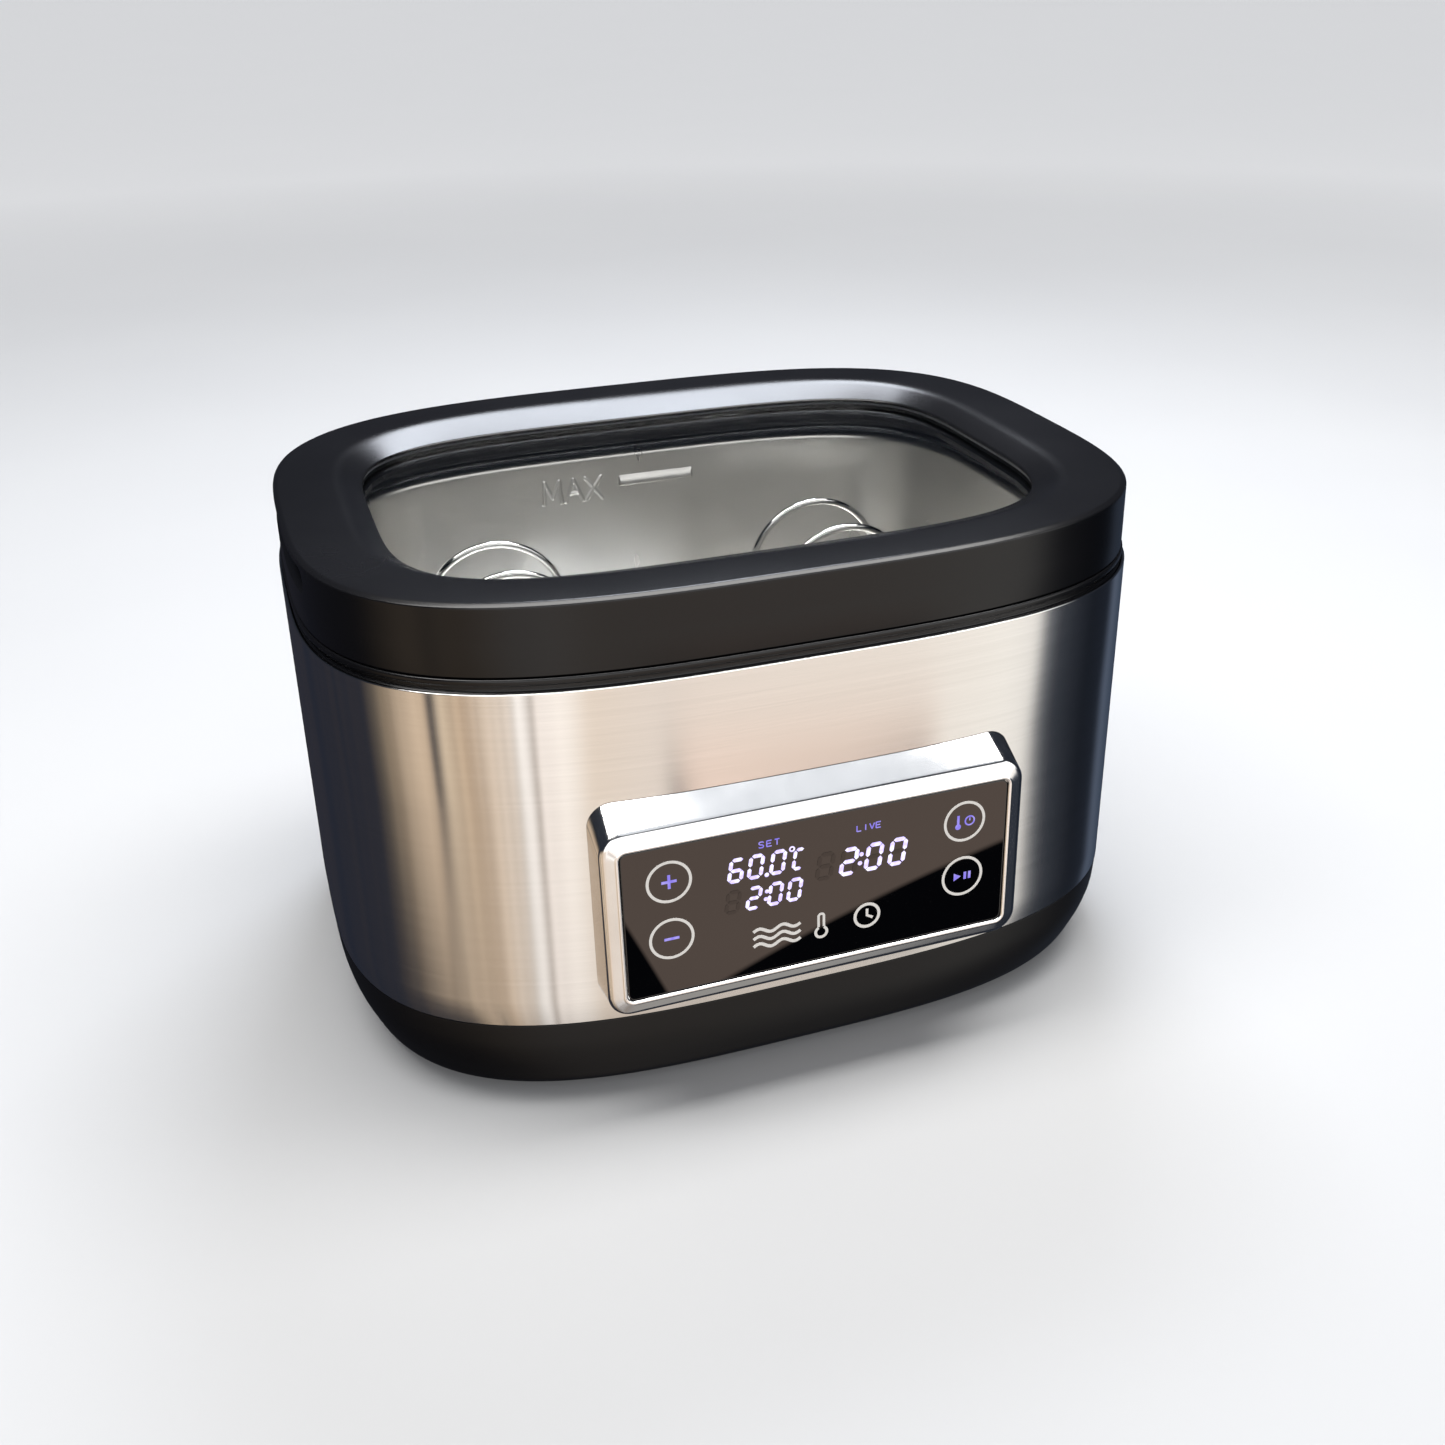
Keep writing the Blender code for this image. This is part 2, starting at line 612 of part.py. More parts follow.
def power_board(board, plastic, dark, ceramic):
    """Power board with its large components."""
    (left, front), (right, back) = BOARD_LOW, BOARD_HIGH
    block("power_board", (left, front, BOARD_Z), (right, back, BOARD_Z + BOARD_THICKNESS), board)
    top = BOARD_Z + BOARD_THICKNESS + GAP
    block("transformer", (-0.070, BODY_Y - 0.020, top), (-0.038, BODY_Y + 0.008, top + 0.0175), dark)
    block("relay", (-0.028, BODY_Y - 0.020, top), (-0.009, BODY_Y - 0.0045, top + 0.0155), plastic)
    block("terminal_block", (-0.028, BODY_Y + 0.014, top), (0.002, BODY_Y + 0.026, top + 0.011), plastic)
    turned("capacitor", (0.010, BODY_Y - 0.010), [(0.0065, top), (0.0065, top + 0.015)], dark)
    block("mains_fuse", (0.006, BODY_Y + 0.014, top), (0.011, BODY_Y + 0.033, top + 0.006), ceramic)


def inlet(plastic, brass):
    """Three-pin mains inlet in the back of the base."""
    flange_y = BODY_Y + SHELL_FOOT.half_y + GAP
    face_y = flange_y + 0.0018
    levels = (
        ((0.0117, 0.0080), 0.0030, face_y - 0.0160),
        ((0.0117, 0.0080), 0.0030, face_y),
        ((0.0165, 0.0125), 0.0030, face_y),
        ((0.0165, 0.0125), 0.0030, flange_y),
        ((0.0135, 0.0098), 0.0012, flange_y),
        ((0.0135, 0.0098), 0.0012, face_y - 0.0200),
    )
    bm = bmesh.new()
    rings = []
    for (half_x, half_z), corner, y in levels:
        flat = rounded_rectangle((-half_x, INLET_Z - half_z), (half_x, INLET_Z + half_z), corner, 2, 2, 3)
        rings.append([(x, y, z) for x, z in flat])
    loft(bm, rings, closed=False)
    finish_object("inlet_body", bm, plastic)
    for name, x, z in (("neutral", -0.007, 0.002), ("live", 0.007, 0.002), ("earth", 0.0, -0.002)):
        low = (x - 0.0010, face_y - 0.0160 + GAP, INLET_Z + z - 0.0020)
        high = (x + 0.0010, face_y - 0.0065, INLET_Z + z + 0.0020)
        block("inlet_pin_" + name, low, high, brass, corner=0.0004)


# ---------------------------------------------------------------- control panel
def panel_y(z, depth=0.0):
    """World y of the control glass's plane at height z, moved into the panel by depth."""
    return BODY_Y + PANEL_Y + PANEL_LEAN * (z - PANEL_LOW_Z) + depth


def shell_front_y(x, z):
    """World y of the shell's front surface."""
    share = (z - SHELL_FOOT_Z) / (SHELL_TOP_Z - SHELL_FOOT_Z)
    outline = between(SHELL_FOOT, SHELL_TOP, share)
    rest = 1.0 - abs(x / outline.half_x) ** outline.exponent
    return BODY_Y - outline.half_y * rest ** (1.0 / outline.exponent)


def panel_piece(name, low, high, corner, front, back, surface):
    """Flat piece parallel to the control glass, from one depth behind its face to another."""
    flat = rounded_rectangle(low, high, corner, 1, 1, 4)
    bm = bmesh.new()
    loft(bm, [[(x, panel_y(z, depth), z) for x, z in flat] for depth in (front, back)], closed=False)
    return finish_object(name, bm, surface)


def control_bezel(surface):
    """Flared frame round the control glass, closed against the curved shell."""
    def frame(half_x, low_z, high_z, corner):
        return rounded_rectangle((-half_x, low_z), (half_x, high_z), corner)
    lip_x, lip_low, lip_high = PANEL_HALF_X + BEZEL_LIP, PANEL_LOW_Z - BEZEL_LIP, PANEL_HIGH_Z + BEZEL_LIP
    foot = frame(lip_x + BEZEL_BEVEL + 0.0006, 0.0495, 0.1362, 0.0100)
    shoulder = frame(lip_x + BEZEL_BEVEL, lip_low - BEZEL_BEVEL, lip_high + BEZEL_BEVEL, 0.0090)
    face = frame(lip_x, lip_low, lip_high, 0.0042)
    lip = frame(PANEL_HALF_X + GAP, PANEL_LOW_Z - GAP, PANEL_HIGH_Z + GAP, 0.0028)
    ledge = frame(PANEL_HALF_X - 0.0025, PANEL_LOW_Z + 0.0025, PANEL_HIGH_Z - 0.0025, 0.0020)
    back = PANEL_GLASS_THICKNESS + GAP
    rings = [
        [(x, shell_front_y(x, z) - GAP, z) for x, z in foot],
        [(x, panel_y(z, BEZEL_BEVEL_DEPTH), z) for x, z in shoulder],
        [(x, panel_y(z, -0.0005), z) for x, z in face],
        [(x, panel_y(z, -0.0004), z) for x, z in lip],
        [(x, panel_y(z, back), z) for x, z in lip],
        [(x, panel_y(z, back), z) for x, z in ledge],
        [(x, shell_front_y(x, z) - GAP, z) for x, z in ledge],
    ]
    bm = bmesh.new()
    loft(bm, rings, closed=True)
    return finish_object("control_bezel", bm, surface)


def control_panel(glass, board, module, foam):
    """Dark glass, and the board with digits and touch pads behind it."""
    panel_piece("control_glass", (-PANEL_HALF_X, PANEL_LOW_Z), (PANEL_HALF_X, PANEL_HIGH_Z), 0.0025,
                0.0, PANEL_GLASS_THICKNESS, glass)
    behind = PANEL_GLASS_THICKNESS + GAP
    board_front = behind + 0.0058
    panel_piece("display_board", (-0.071, PANEL_LOW_Z + 0.005), (0.071, PANEL_HIGH_Z - 0.005), 0.002,
                board_front, board_front + BOARD_THICKNESS, board)
    module_back = board_front - GAP
    panel_piece("digits_set", (-0.040, 0.0845), (-0.004, 0.1150), 0.001, behind, module_back, module)
    panel_piece("digits_live", (0.004, 0.0900), (0.039, 0.1085), 0.001, behind, module_back, module)
    for column, x in (("left", -KEY_X), ("right", KEY_X)):
        for row, z in (("upper", KEY_HIGH_Z), ("lower", KEY_LOW_Z)):
            panel_piece("touch_pad_%s_%s" % (column, row), (x - 0.0045, z - 0.0045),
                        (x + 0.0045, z + 0.0045), 0.0044, behind, module_back, foam)
    panel_piece("buzzer", (0.016, 0.0690), (0.026, 0.0790), 0.0049, behind + 0.001, module_back, module)


# ---------------------------------------------------------------- assembly
def clear_scene():
    for existing in list(bpy.data.objects):
        bpy.data.objects.remove(existing, do_unlink=True)


def build():
    clear_scene()
    black = material("black_plastic", (0.022, 0.022, 0.026), 0.42)
    brushed = material("brushed_steel", (0.62, 0.60, 0.57), 0.30, 1.0)
    satin = material("satin_steel", (0.60, 0.59, 0.55), 0.34, 1.0)
    bright = material("bright_steel", (0.78, 0.78, 0.77), 0.12, 1.0)
    polished = material("polished_bezel", (0.80, 0.80, 0.81), 0.10, 1.0)
    clear = material("clear_glass", (0.85, 0.90, 0.90), 0.03, 0.0, 0.25)
    smoked = material("smoked_glass", (0.030, 0.024, 0.022), 0.08)
    silicone = material("black_silicone", (0.03, 0.03, 0.03), 0.6)
    heater = material("heater_silicone", (0.55, 0.18, 0.10), 0.6)
    fibre = material("insulation_fibre", (0.80, 0.78, 0.72), 0.95)
    rubber = material("rubber", (0.02, 0.02, 0.02), 0.7)
    zinc = material("zinc_steel", (0.55, 0.56, 0.58), 0.35, 1.0)
    aluminium = material("aluminium", (0.75, 0.76, 0.77), 0.35, 1.0)
    board = material("circuit_board", (0.05, 0.22, 0.10), 0.5)
    component = material("dark_component", (0.05, 0.05, 0.06), 0.4)
    white = material("white_plastic", (0.80, 0.80, 0.78), 0.4)
    brass = material("brass", (0.75, 0.58, 0.28), 0.3, 1.0)

    lid_frame(black)
    lid_pane(clear)
    lid_gasket(silicone)
    lid_retainer(black)
    lid_screws(zinc)
    top_rim(black)
    tank_seal(silicone)
    outer_shell(brushed)
    inner_tank(satin)
    base_housing(black)
    bottom_cover(black)
    cover_screws(zinc)
    rubber_feet(rubber)
    bag_rack(bright)
    heating_stack(aluminium, heater, fibre, zinc, white)
    insulation_wrap(fibre)
    power_board(board, white, component, white)
    inlet(black, brass)
    control_bezel(polished)
    control_panel(smoked, board, component, silicone)


build()
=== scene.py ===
import json
from collections import namedtuple
from math import cos, pi, radians, sin

import bmesh
import bpy
import numpy as np
from mathutils import Matrix, Vector


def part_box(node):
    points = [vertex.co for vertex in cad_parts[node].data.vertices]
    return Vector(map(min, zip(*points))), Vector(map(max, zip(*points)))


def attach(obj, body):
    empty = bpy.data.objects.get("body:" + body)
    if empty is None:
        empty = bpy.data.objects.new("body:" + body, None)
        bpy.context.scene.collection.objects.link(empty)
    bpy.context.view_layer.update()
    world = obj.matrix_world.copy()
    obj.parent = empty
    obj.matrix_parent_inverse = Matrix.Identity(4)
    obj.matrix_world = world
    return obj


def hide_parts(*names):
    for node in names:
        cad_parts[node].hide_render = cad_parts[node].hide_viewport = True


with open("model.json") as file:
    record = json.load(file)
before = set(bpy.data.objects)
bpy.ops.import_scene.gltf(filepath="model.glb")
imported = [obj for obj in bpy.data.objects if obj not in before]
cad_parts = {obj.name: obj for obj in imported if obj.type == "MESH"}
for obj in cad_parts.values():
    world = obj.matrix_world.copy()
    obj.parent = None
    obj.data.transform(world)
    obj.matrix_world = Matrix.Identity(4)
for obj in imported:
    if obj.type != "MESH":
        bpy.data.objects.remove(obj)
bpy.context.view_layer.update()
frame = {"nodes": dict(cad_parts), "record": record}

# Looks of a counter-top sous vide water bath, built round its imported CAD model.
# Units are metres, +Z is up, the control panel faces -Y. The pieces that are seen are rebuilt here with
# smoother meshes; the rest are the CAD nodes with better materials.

# ---- driving dimensions
GAP = 0.0003                    # clearance that neighbouring pieces keep
SHEET = 0.001                   # stainless sheet
AROUND = 240                    # points round a casing
COLUMN_GAP = 0.00012            # columns of points nearer than this are merged

Outline = namedtuple("Outline", "half_x half_y exponent")


def z_range(node):
    """Lowest and highest z of a CAD node."""
    return [corner.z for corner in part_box(node)]


def outline_of(node, exponent, inset=0.0):
    """Largest outline of a CAD node, moved inwards by inset."""
    low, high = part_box(node)
    size = high - low
    return Outline(size.x / 2 - inset, size.y / 2 - inset, exponent)


def within(outline, inset_x, inset_y, exponent):
    """Outline inside another, with its own corners."""
    return Outline(outline.half_x - inset_x, outline.half_y - inset_y, exponent)


BODY_Y = sum(corner.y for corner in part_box("outer_shell")) / 2

LID_FOOT = outline_of("lid_frame", 3.3)
LID_TOP = outline_of("lid_frame", 3.3, 0.0005)
BEVEL = within(LID_TOP, 0.0261, 0.0222, 3.6)
WINDOW = within(LID_TOP, 0.036, 0.04, 4.1)
GLASS_EDGE = outline_of("lid_glass", 4.0)
DOWNSTAND = within(LID_TOP, 0.0195, 0.0201, 3.6)
RIM = outline_of("top_rim", 3.3, 0.0002)
RIM_OPENING = within(RIM, 0.021, 0.0217, 3.6)
TANK_MOUTH = within(RIM, 0.0225, 0.0232, 3.6)
TANK_WAIST = within(TANK_MOUTH, 0.0054, 0.0051, 3.6)
TANK_FLOOR = within(TANK_MOUTH, 0.0224, 0.0221, 3.6)
SHELL_FOOT = outline_of("outer_shell", 3.3)
SHELL_TOP = outline_of("outer_shell", 3.3, 0.00205)

POCKET_HALF_LENGTH = 0.058      # finger pocket in each end of the lid
POCKET_DEPTH = 0.0125
POCKET_CORNER = 0.0042
POCKET_BELOW_TOP = (0.0126, 0.003)      # lower and upper edge, below the lid's top

EDGE_RUN = 0.0019               # chamfer round the lid's top
EDGE_DROP = 0.0011

PANEL_GLASS_THICKNESS = 0.002
BEZEL_LIP = 0.002
BEZEL_BEVEL = 0.0052
BEZEL_BEVEL_DEPTH = 0.0018

HOOP_X = 0.079
HOOP_RADIUS = 0.03225
WIRE_BEND = 0.006
RACK_RING_EXPONENT = 5.0
RACK_FOOT_X = 0.07

CAMERA_AZIMUTH = -18.48         # degrees, measured from straight in front towards +X
CAMERA_ELEVATION = 27.84
CAMERA_ROLL = -1.1
CAMERA_DISTANCE = 0.663
CAMERA_TARGET = Vector((0.0036, -0.0177, 0.0999))
CAMERA_LENS = 37.13             # mm on a 36 mm sensor


# ---- material graphs
MATERIALS = {}                  # by name: one for each slot of the record, and some that only the looks use


class Graph:
    """Node tree of a material or the world, with short ways to add nodes."""

    def __init__(self, name, data=None, shader="Principled BSDF", place="Object"):
        self.name = name
        self.material = data or bpy.data.materials.new(name)
        self.material.use_nodes = True
        self.tree = self.material.node_tree
        self.shader = self.tree.nodes[shader]
        self.place = self.add("TexCoord").outputs[place]

    def add(self, kind, inputs=None, **settings):
        node = self.tree.nodes.new("ShaderNode" + kind)
        for name, value in settings.items():
            setattr(node, name, value)
        for socket, value in (inputs or {}).items():
            self.join(value, node.inputs[socket])
        return node

    def join(self, source, target):
        if isinstance(source, bpy.types.NodeSocket):
            self.tree.links.new(source, target)
        else:
            target.default_value = source

    def stretched(self, scale):
        """Object coordinates scaled along each axis."""
        return self.add("Mapping", {"Vector": self.place, "Scale": scale}).outputs["Vector"]

    def split(self, vector):
        """The three parts of a vector."""
        return self.add("SeparateXYZ", {0: vector}).outputs

    def combined(self, x, y):
        """A vector from its first two parts."""
        return self.add("CombineXYZ", {0: x, 1: y}).outputs[0]

    def noise(self, scale, detail=3.0, vector=None, roughness=0.5):
        inputs = {"Vector": vector or self.place, "Scale": scale, "Detail": detail, "Roughness": roughness}
        return self.add("TexNoise", inputs).outputs["Fac"]

    def remap(self, value, low, high, to_low=0.0, to_high=1.0):
        inputs = {"Value": value, "From Min": low, "From Max": high, "To Min": to_low, "To Max": to_high}
        return self.add("MapRange", inputs).outputs["Result"]

    def spread(self, noise, low, high):
        """The middle of a noise's range, stretched from low to high."""
        return self.remap(noise, 0.3, 0.7, low, high)

    def near(self, value, middle, full, none):
        """One within full of middle, falling to nothing at none."""
        off = self.math("ABSOLUTE", self.math("ADD", value, -middle))
        return self.remap(off, full, none, 1.0, 0.0)

    def math(self, operation, *values):
        return self.add("Math", dict(enumerate(values)), operation=operation).outputs["Value"]

    def times(self, first, second):
        return self.math("MULTIPLY", first, second)

    def mix(self, factor, *colours):
        first, second = (c if isinstance(c, bpy.types.NodeSocket) else (*c, 1.0) for c in colours)
        return self.add("Mix", {0: factor, 6: first, 7: second}, data_type="RGBA").outputs[2]

    def bump(self, height, strength, distance=0.0005, below=None):
        inputs = {"Height": height, "Strength": strength, "Distance": distance}
        if below is not None:
            inputs["Normal"] = below
        return self.add("Bump", inputs).outputs["Normal"]

    def finish(self, colour, roughness, **sockets):
        """Set or join the shader's sockets, named with underscores for spaces."""
        for name, value in (("Base Color", colour), ("Roughness", roughness), *sockets.items()):
            self.join(value, self.shader.inputs[name.replace("_", " ")])
        MATERIALS[self.name] = self.material


def scaled(colour, factor, extra=0.0):
    """Lighter or darker colour."""
    return tuple(c * factor + extra for c in colour)


def moulded_plastic(name, dark, pale, rough, grain=1500.0, grain_depth=0.1, sheen=0.5):
    """Moulded plastic with fine grain, faint handling marks and a little dust."""
    g = Graph(name)
    smudge = g.noise(12.0, 3.0)
    dust = g.remap(g.noise(900.0, 2.0), 0.66, 0.82, 0.0, 0.4)
    colour = g.mix(dust, g.mix(smudge, dark, pale), scaled(pale, 1.6, 0.008))
    roughness = g.spread(smudge, rough - 0.02, rough + 0.03)
    g.finish(colour, roughness, Specular_IOR_Level=sheen,
             Normal=g.bump(g.noise(grain, 2.0), grain_depth, 0.0001))


def brushed_steel():
    """Stainless brushed round the body, so that reflections spread up and down."""
    g = Graph("brushed_steel")
    fine = g.noise(1.0, 2.0, g.stretched((14.0, 14.0, 2600.0)))
    coarse = g.noise(1.0, 3.0, g.stretched((5.0, 5.0, 520.0)))
    marks = g.noise(9.0, 4.0, roughness=0.6)
    tone = g.math("MULTIPLY_ADD", coarse, 0.4, g.times(fine, 0.6))
    colour = g.mix(g.spread(tone, 0.0, 1.0), (0.75, 0.74, 0.72), (0.8, 0.79, 0.775))
    roughness = g.math("ADD", g.spread(tone, 0.135, 0.15), g.remap(marks, 0.35, 0.75, 0.0, 0.02))
    tangent = g.add("Tangent", direction_type="RADIAL", axis="Z").outputs["Tangent"]
    g.finish(colour, roughness, Metallic=1.0, Anisotropic=0.92, Anisotropic_Rotation=0.25, Tangent=tangent,
             Normal=g.bump(fine, 0.03, 0.00005))


def satin_steel():
    """Deep-drawn stainless with a satin, faintly streaked inside."""
    g = Graph("satin_steel")
    grain = g.noise(1300.0, 2.0)
    drawn = g.noise(1.0, 3.0, g.stretched((70.0, 70.0, 6.0)))
    clouds = g.noise(11.0, 4.0)
    colour = g.mix(g.spread(clouds, 0.0, 1.0), (0.75, 0.74, 0.715), (0.83, 0.82, 0.795))
    waves = g.noise(13.0, 1.0)
    roughness = g.math("ADD", g.spread(drawn, 0.25, 0.3), g.spread(clouds, 0.0, 0.05))
    g.finish(colour, roughness, Metallic=1.0, Normal=g.bump(grain, 0.12, 0.0001, g.bump(waves, 0.3, 0.006)))


def metal(name, dull, bright, low_rough, high_rough, scale=60.0, grain=900.0, depth=0.05):
    """Bare metal with cloudy tone and fine surface grain."""
    g = Graph(name)
    clouds = g.noise(scale, 4.0, roughness=0.6)
    g.finish(g.mix(g.spread(clouds, 0.0, 1.0), dull, bright), g.spread(clouds, low_rough, high_rough),
             Metallic=1.0, Normal=g.bump(g.noise(grain, 2.0), depth, 0.0001))


def clear_pane():
    """Clear glass: what lies behind shows straight through, under a clean reflection."""
    g = Graph("clear_glass")
    wipe = g.noise(16.0, 5.0, roughness=0.65)
    gloss = g.add("BsdfGlossy", {"Roughness": g.remap(wipe, 0.35, 0.75, 0.02, 0.09)})
    through = g.add("BsdfTransparent", {"Color": (0.98, 0.98, 0.976, 1.0)})
    facing = g.add("LayerWeight").outputs["Facing"]
    share = g.math("MULTIPLY_ADD", g.math("POWER", facing, 5.0), 0.92, g.remap(wipe, 0.45, 0.8, 0.04, 0.05))
    blend = g.add("MixShader", {0: share, 1: through.outputs["BSDF"], 2: gloss.outputs["BSDF"]})
    g.join(blend.outputs["Shader"], g.tree.nodes["Material Output"].inputs["Surface"])
    g.tree.nodes.remove(g.shader)
    MATERIALS[g.name] = g.material


def smoked_glass():
    """Dark, glossy control glass with faint wiping marks."""
    g = Graph("smoked_glass")
    wipe = g.noise(35.0, 5.0, roughness=0.65)
    speck = g.remap(g.noise(1400.0, 1.0), 0.7, 0.8)
    colour = g.mix(speck, (0.003, 0.0025, 0.0025), (0.02, 0.018, 0.017))
    g.finish(colour, g.remap(wipe, 0.35, 0.75, 0.003, 0.02), IOR=1.55, Specular_IOR_Level=0.72)


def soft_black(name, shade, rough, scale):
    """Rubber or silicone with a fine bloom."""
    g = Graph(name)
    bloom = g.noise(scale, 4.0)
    colour = g.mix(bloom, scaled(shade, 0.7), scaled(shade, 1.5))
    g.finish(colour, g.spread(bloom, rough - 0.08, rough + 0.08),
             Normal=g.bump(g.noise(scale * 12, 2.0), 0.2, 0.0001))


def woven(name, shade, thread):
    """Fabric pressed into silicone or fibre: two crossing sets of threads."""
    g = Graph(name)
    inputs = {"Vector": g.place, "Scale": thread, "Distortion": 0.6}
    waves = [g.add("TexWave", inputs, bands_direction=axis).outputs["Fac"] for axis in ("X", "Y")]
    weave = g.times(*waves)
    colour = g.mix(weave, scaled(shade, 0.65), shade)
    g.finish(colour, g.remap(weave, 0.0, 1.0, 0.75, 0.5), Normal=g.bump(weave, 0.4, 0.0003))


def fibre_wool():
    """Compressed mineral fibre."""
    g = Graph("fibre")
    tangle = g.noise(320.0, 6.0, roughness=0.75)
    tufts = g.noise(35.0, 3.0)
    colour = g.mix(tangle, (0.5, 0.47, 0.4), (0.86, 0.84, 0.78))
    g.finish(g.mix(g.remap(tufts, 0.4, 0.7, 0.0, 0.4), colour, (0.7, 0.62, 0.48)),
             g.spread(tangle, 0.85, 1.0), Normal=g.bump(tangle, 0.8, 0.001))


def circuit_board():
    """Green solder resist over copper tracks."""
    g = Graph("circuit_board")
    inputs = {"Vector": g.place, "Scale": 90.0, "Mortar Size": 0.05, "Mortar Smooth": 0.2}
    copper = g.add("TexBrick", inputs).outputs["Fac"]
    resist = g.mix(g.noise(120.0), (0.012, 0.085, 0.035), (0.025, 0.13, 0.055))
    g.finish(g.mix(copper, resist, (0.06, 0.24, 0.09)),
             g.remap(copper, 0.0, 1.0, 0.35, 0.28), Normal=g.bump(copper, 0.3, 0.0002))


def printed_ink():
    """Off-white print on the control glass, with a faint painted glow: the print emits its own colour though
    it is no lamp.
    """
    g = Graph("printed_ink")
    wear = g.noise(700.0, 3.0)
    shade = g.mix(wear, (0.78, 0.74, 0.68), (0.95, 0.92, 0.87))
    # painted glow: the ink's colour is also emitted, so the print looks lit though nothing lights it from
    # behind
    g.finish(shade, g.spread(wear, 0.35, 0.5), Emission_Color=shade, Emission_Strength=0.45)


def light_emitting(name, edge, core, strength):
    """Lit display segments, brighter in places."""
    g = Graph(name)
    spots = g.add("TexVoronoi", {"Vector": g.place, "Scale": 420.0}).outputs["Distance"]
    glow = g.mix(g.remap(spots, 0.0, 0.7, 1.0, 0.0), edge, core)
    g.finish((0.02, 0.02, 0.03, 1.0), g.remap(spots, 0.0, 1.0, 0.3, 0.5),
             Emission_Color=glow, Emission_Strength=strength)


def unlit_segment():
    """Display segments that are switched off and show faintly."""
    g = Graph("unlit_segment")
    spots = g.noise(500.0)
    g.finish(g.mix(spots, (0.004, 0.003, 0.003), (0.008, 0.006, 0.006)),
             g.spread(spots, 0.03, 0.06), IOR=1.55, Specular_IOR_Level=0.6)


def make_materials():
    moulded_plastic("black_plastic", (0.0045, 0.0045, 0.0055), (0.007, 0.007, 0.0085), 0.245, sheen=0.4)
    moulded_plastic("base_plastic", (0.0045, 0.0045, 0.0052), (0.0075, 0.0075, 0.0086), 0.38, sheen=0.32)
    brushed_steel()
    satin_steel()
    metal("bright_steel", (0.74, 0.74, 0.73), (0.86, 0.86, 0.85), 0.06, 0.14)
    metal("polished_bezel", (0.84, 0.84, 0.84), (0.92, 0.92, 0.92), 0.07, 0.13, 40.0)
    clear_pane()
    smoked_glass()
    soft_black("silicone", (0.048, 0.052, 0.06), 0.55, 60.0)
    woven("heater_silicone", (0.62, 0.17, 0.08), 120.0)
    fibre_wool()
    soft_black("rubber", (0.02, 0.02, 0.02), 0.72, 90.0)
    metal("zinc_steel", (0.46, 0.48, 0.5), (0.66, 0.67, 0.66), 0.3, 0.45, 130.0)
    metal("aluminium", (0.68, 0.69, 0.7), (0.8, 0.81, 0.82), 0.3, 0.42, 35.0)
    circuit_board()
    moulded_plastic("dark_component", (0.035, 0.035, 0.042), (0.06, 0.06, 0.07), 0.42)
    moulded_plastic("white_plastic", (0.7, 0.7, 0.67), (0.8, 0.8, 0.78), 0.42)
    moulded_plastic("ceramic", (0.76, 0.74, 0.7), (0.86, 0.85, 0.81), 0.25, 500.0, 0.1)
    metal("brass", (0.62, 0.46, 0.2), (0.8, 0.63, 0.32), 0.22, 0.34, 90.0)
    printed_ink()
    light_emitting("lit_segment", (0.56, 0.48, 1.0), (0.94, 0.92, 1.0), 1.5)
    light_emitting("lit_symbol", (0.28, 0.22, 0.95), (0.48, 0.42, 1.0), 0.9)
    unlit_segment()


# ---- mesh builders
def grown(outline, amount):
    """The outline moved outwards by amount."""
    return Outline(outline.half_x + amount, outline.half_y + amount, outline.exponent)


def between(first, second, fraction):
    """The outline a fraction of the way from the first to the second."""
    return Outline(*(a + (b - a) * fraction for a, b in zip(first, second)))


def outline_points(outline, angles):
    """Points of a superellipse at parameter angles, as an n x 2 array in the body's plan."""
    power = 2.0 / outline.exponent
    c, s = np.cos(angles), np.sin(angles)
    x = outline.half_x * np.abs(c) ** power * np.sign(c)
    y = outline.half_y * np.abs(s) ** power * np.sign(s)
    return np.stack([x, y + BODY_Y], axis=-1)


def edge_y(outline, x):
    """Distance from the middle to the outline's long side, at x."""
    return outline.half_y * (1.0 - abs(x / outline.half_x) ** outline.exponent) ** (1.0 / outline.exponent)


def even_angles(outline, count):
    """Parameter angles that space count points evenly along an outline."""
    fine = np.linspace(0.0, 2 * pi, 8001)
    steps = np.diff(outline_points(outline, fine), axis=0)
    run = np.concatenate(([0.0], np.cumsum(np.hypot(*steps.T))))
    return np.interp(np.linspace(0.0, run[-1], count + 1)[:-1], run, fine)


def angles_where(outline, axis, places, towards):
    """Parameter angles where a plan coordinate has the given values, on the side named by towards."""
    share = np.abs(places) / (outline.half_x if axis == 0 else outline.half_y)
    other = (1.0 - share ** outline.exponent) ** (1.0 / outline.exponent)
    power = outline.exponent / 2.0
    this, that = share ** power * np.sign(places), other ** power * towards
    return np.mod(np.arctan2(that, this) if axis == 0 else np.arctan2(this, that), 2 * pi)


def merged_angles(outline, *sets):
    """Sorted angles of several sets, less those whose points nearly coincide."""
    angles = np.sort(np.concatenate(sets))
    points = outline_points(outline, angles)
    kept = [0]
    for index in range(1, len(angles)):
        if np.hypot(*(points[index] - points[kept[-1]])) > COLUMN_GAP:
            kept.append(index)
    return angles[kept]


def eased(corners, across, steps=5, closed=False):
    """Section with its corners rounded.

    A corner's row ends with how far its rounding reaches along both edges, which the columns named by
    across measure. A corner with no reach stays sharp.
    """
    rows = np.array(corners, float)
    values, reach = rows[:, :-1], rows[:, -1]
    count = len(values)
    result = []
    for i in range(count):
        here = values[i]
        if reach[i] <= 0 or (not closed and i in (0, count - 1)):
            result.append(here)
            continue
        ends = []
        for neighbour in (values[i - 1], values[(i + 1) % count]):
            length = np.linalg.norm((neighbour - here)[list(across)])
            ends.append(here + (neighbour - here) * min(reach[i] / max(length, 1e-9), 0.49))
        for u in np.linspace(0.0, 1.0, steps + 1):
            result.append((1 - u) ** 2 * ends[0] + 2 * u * (1 - u) * here + u ** 2 * ends[1])
    return result


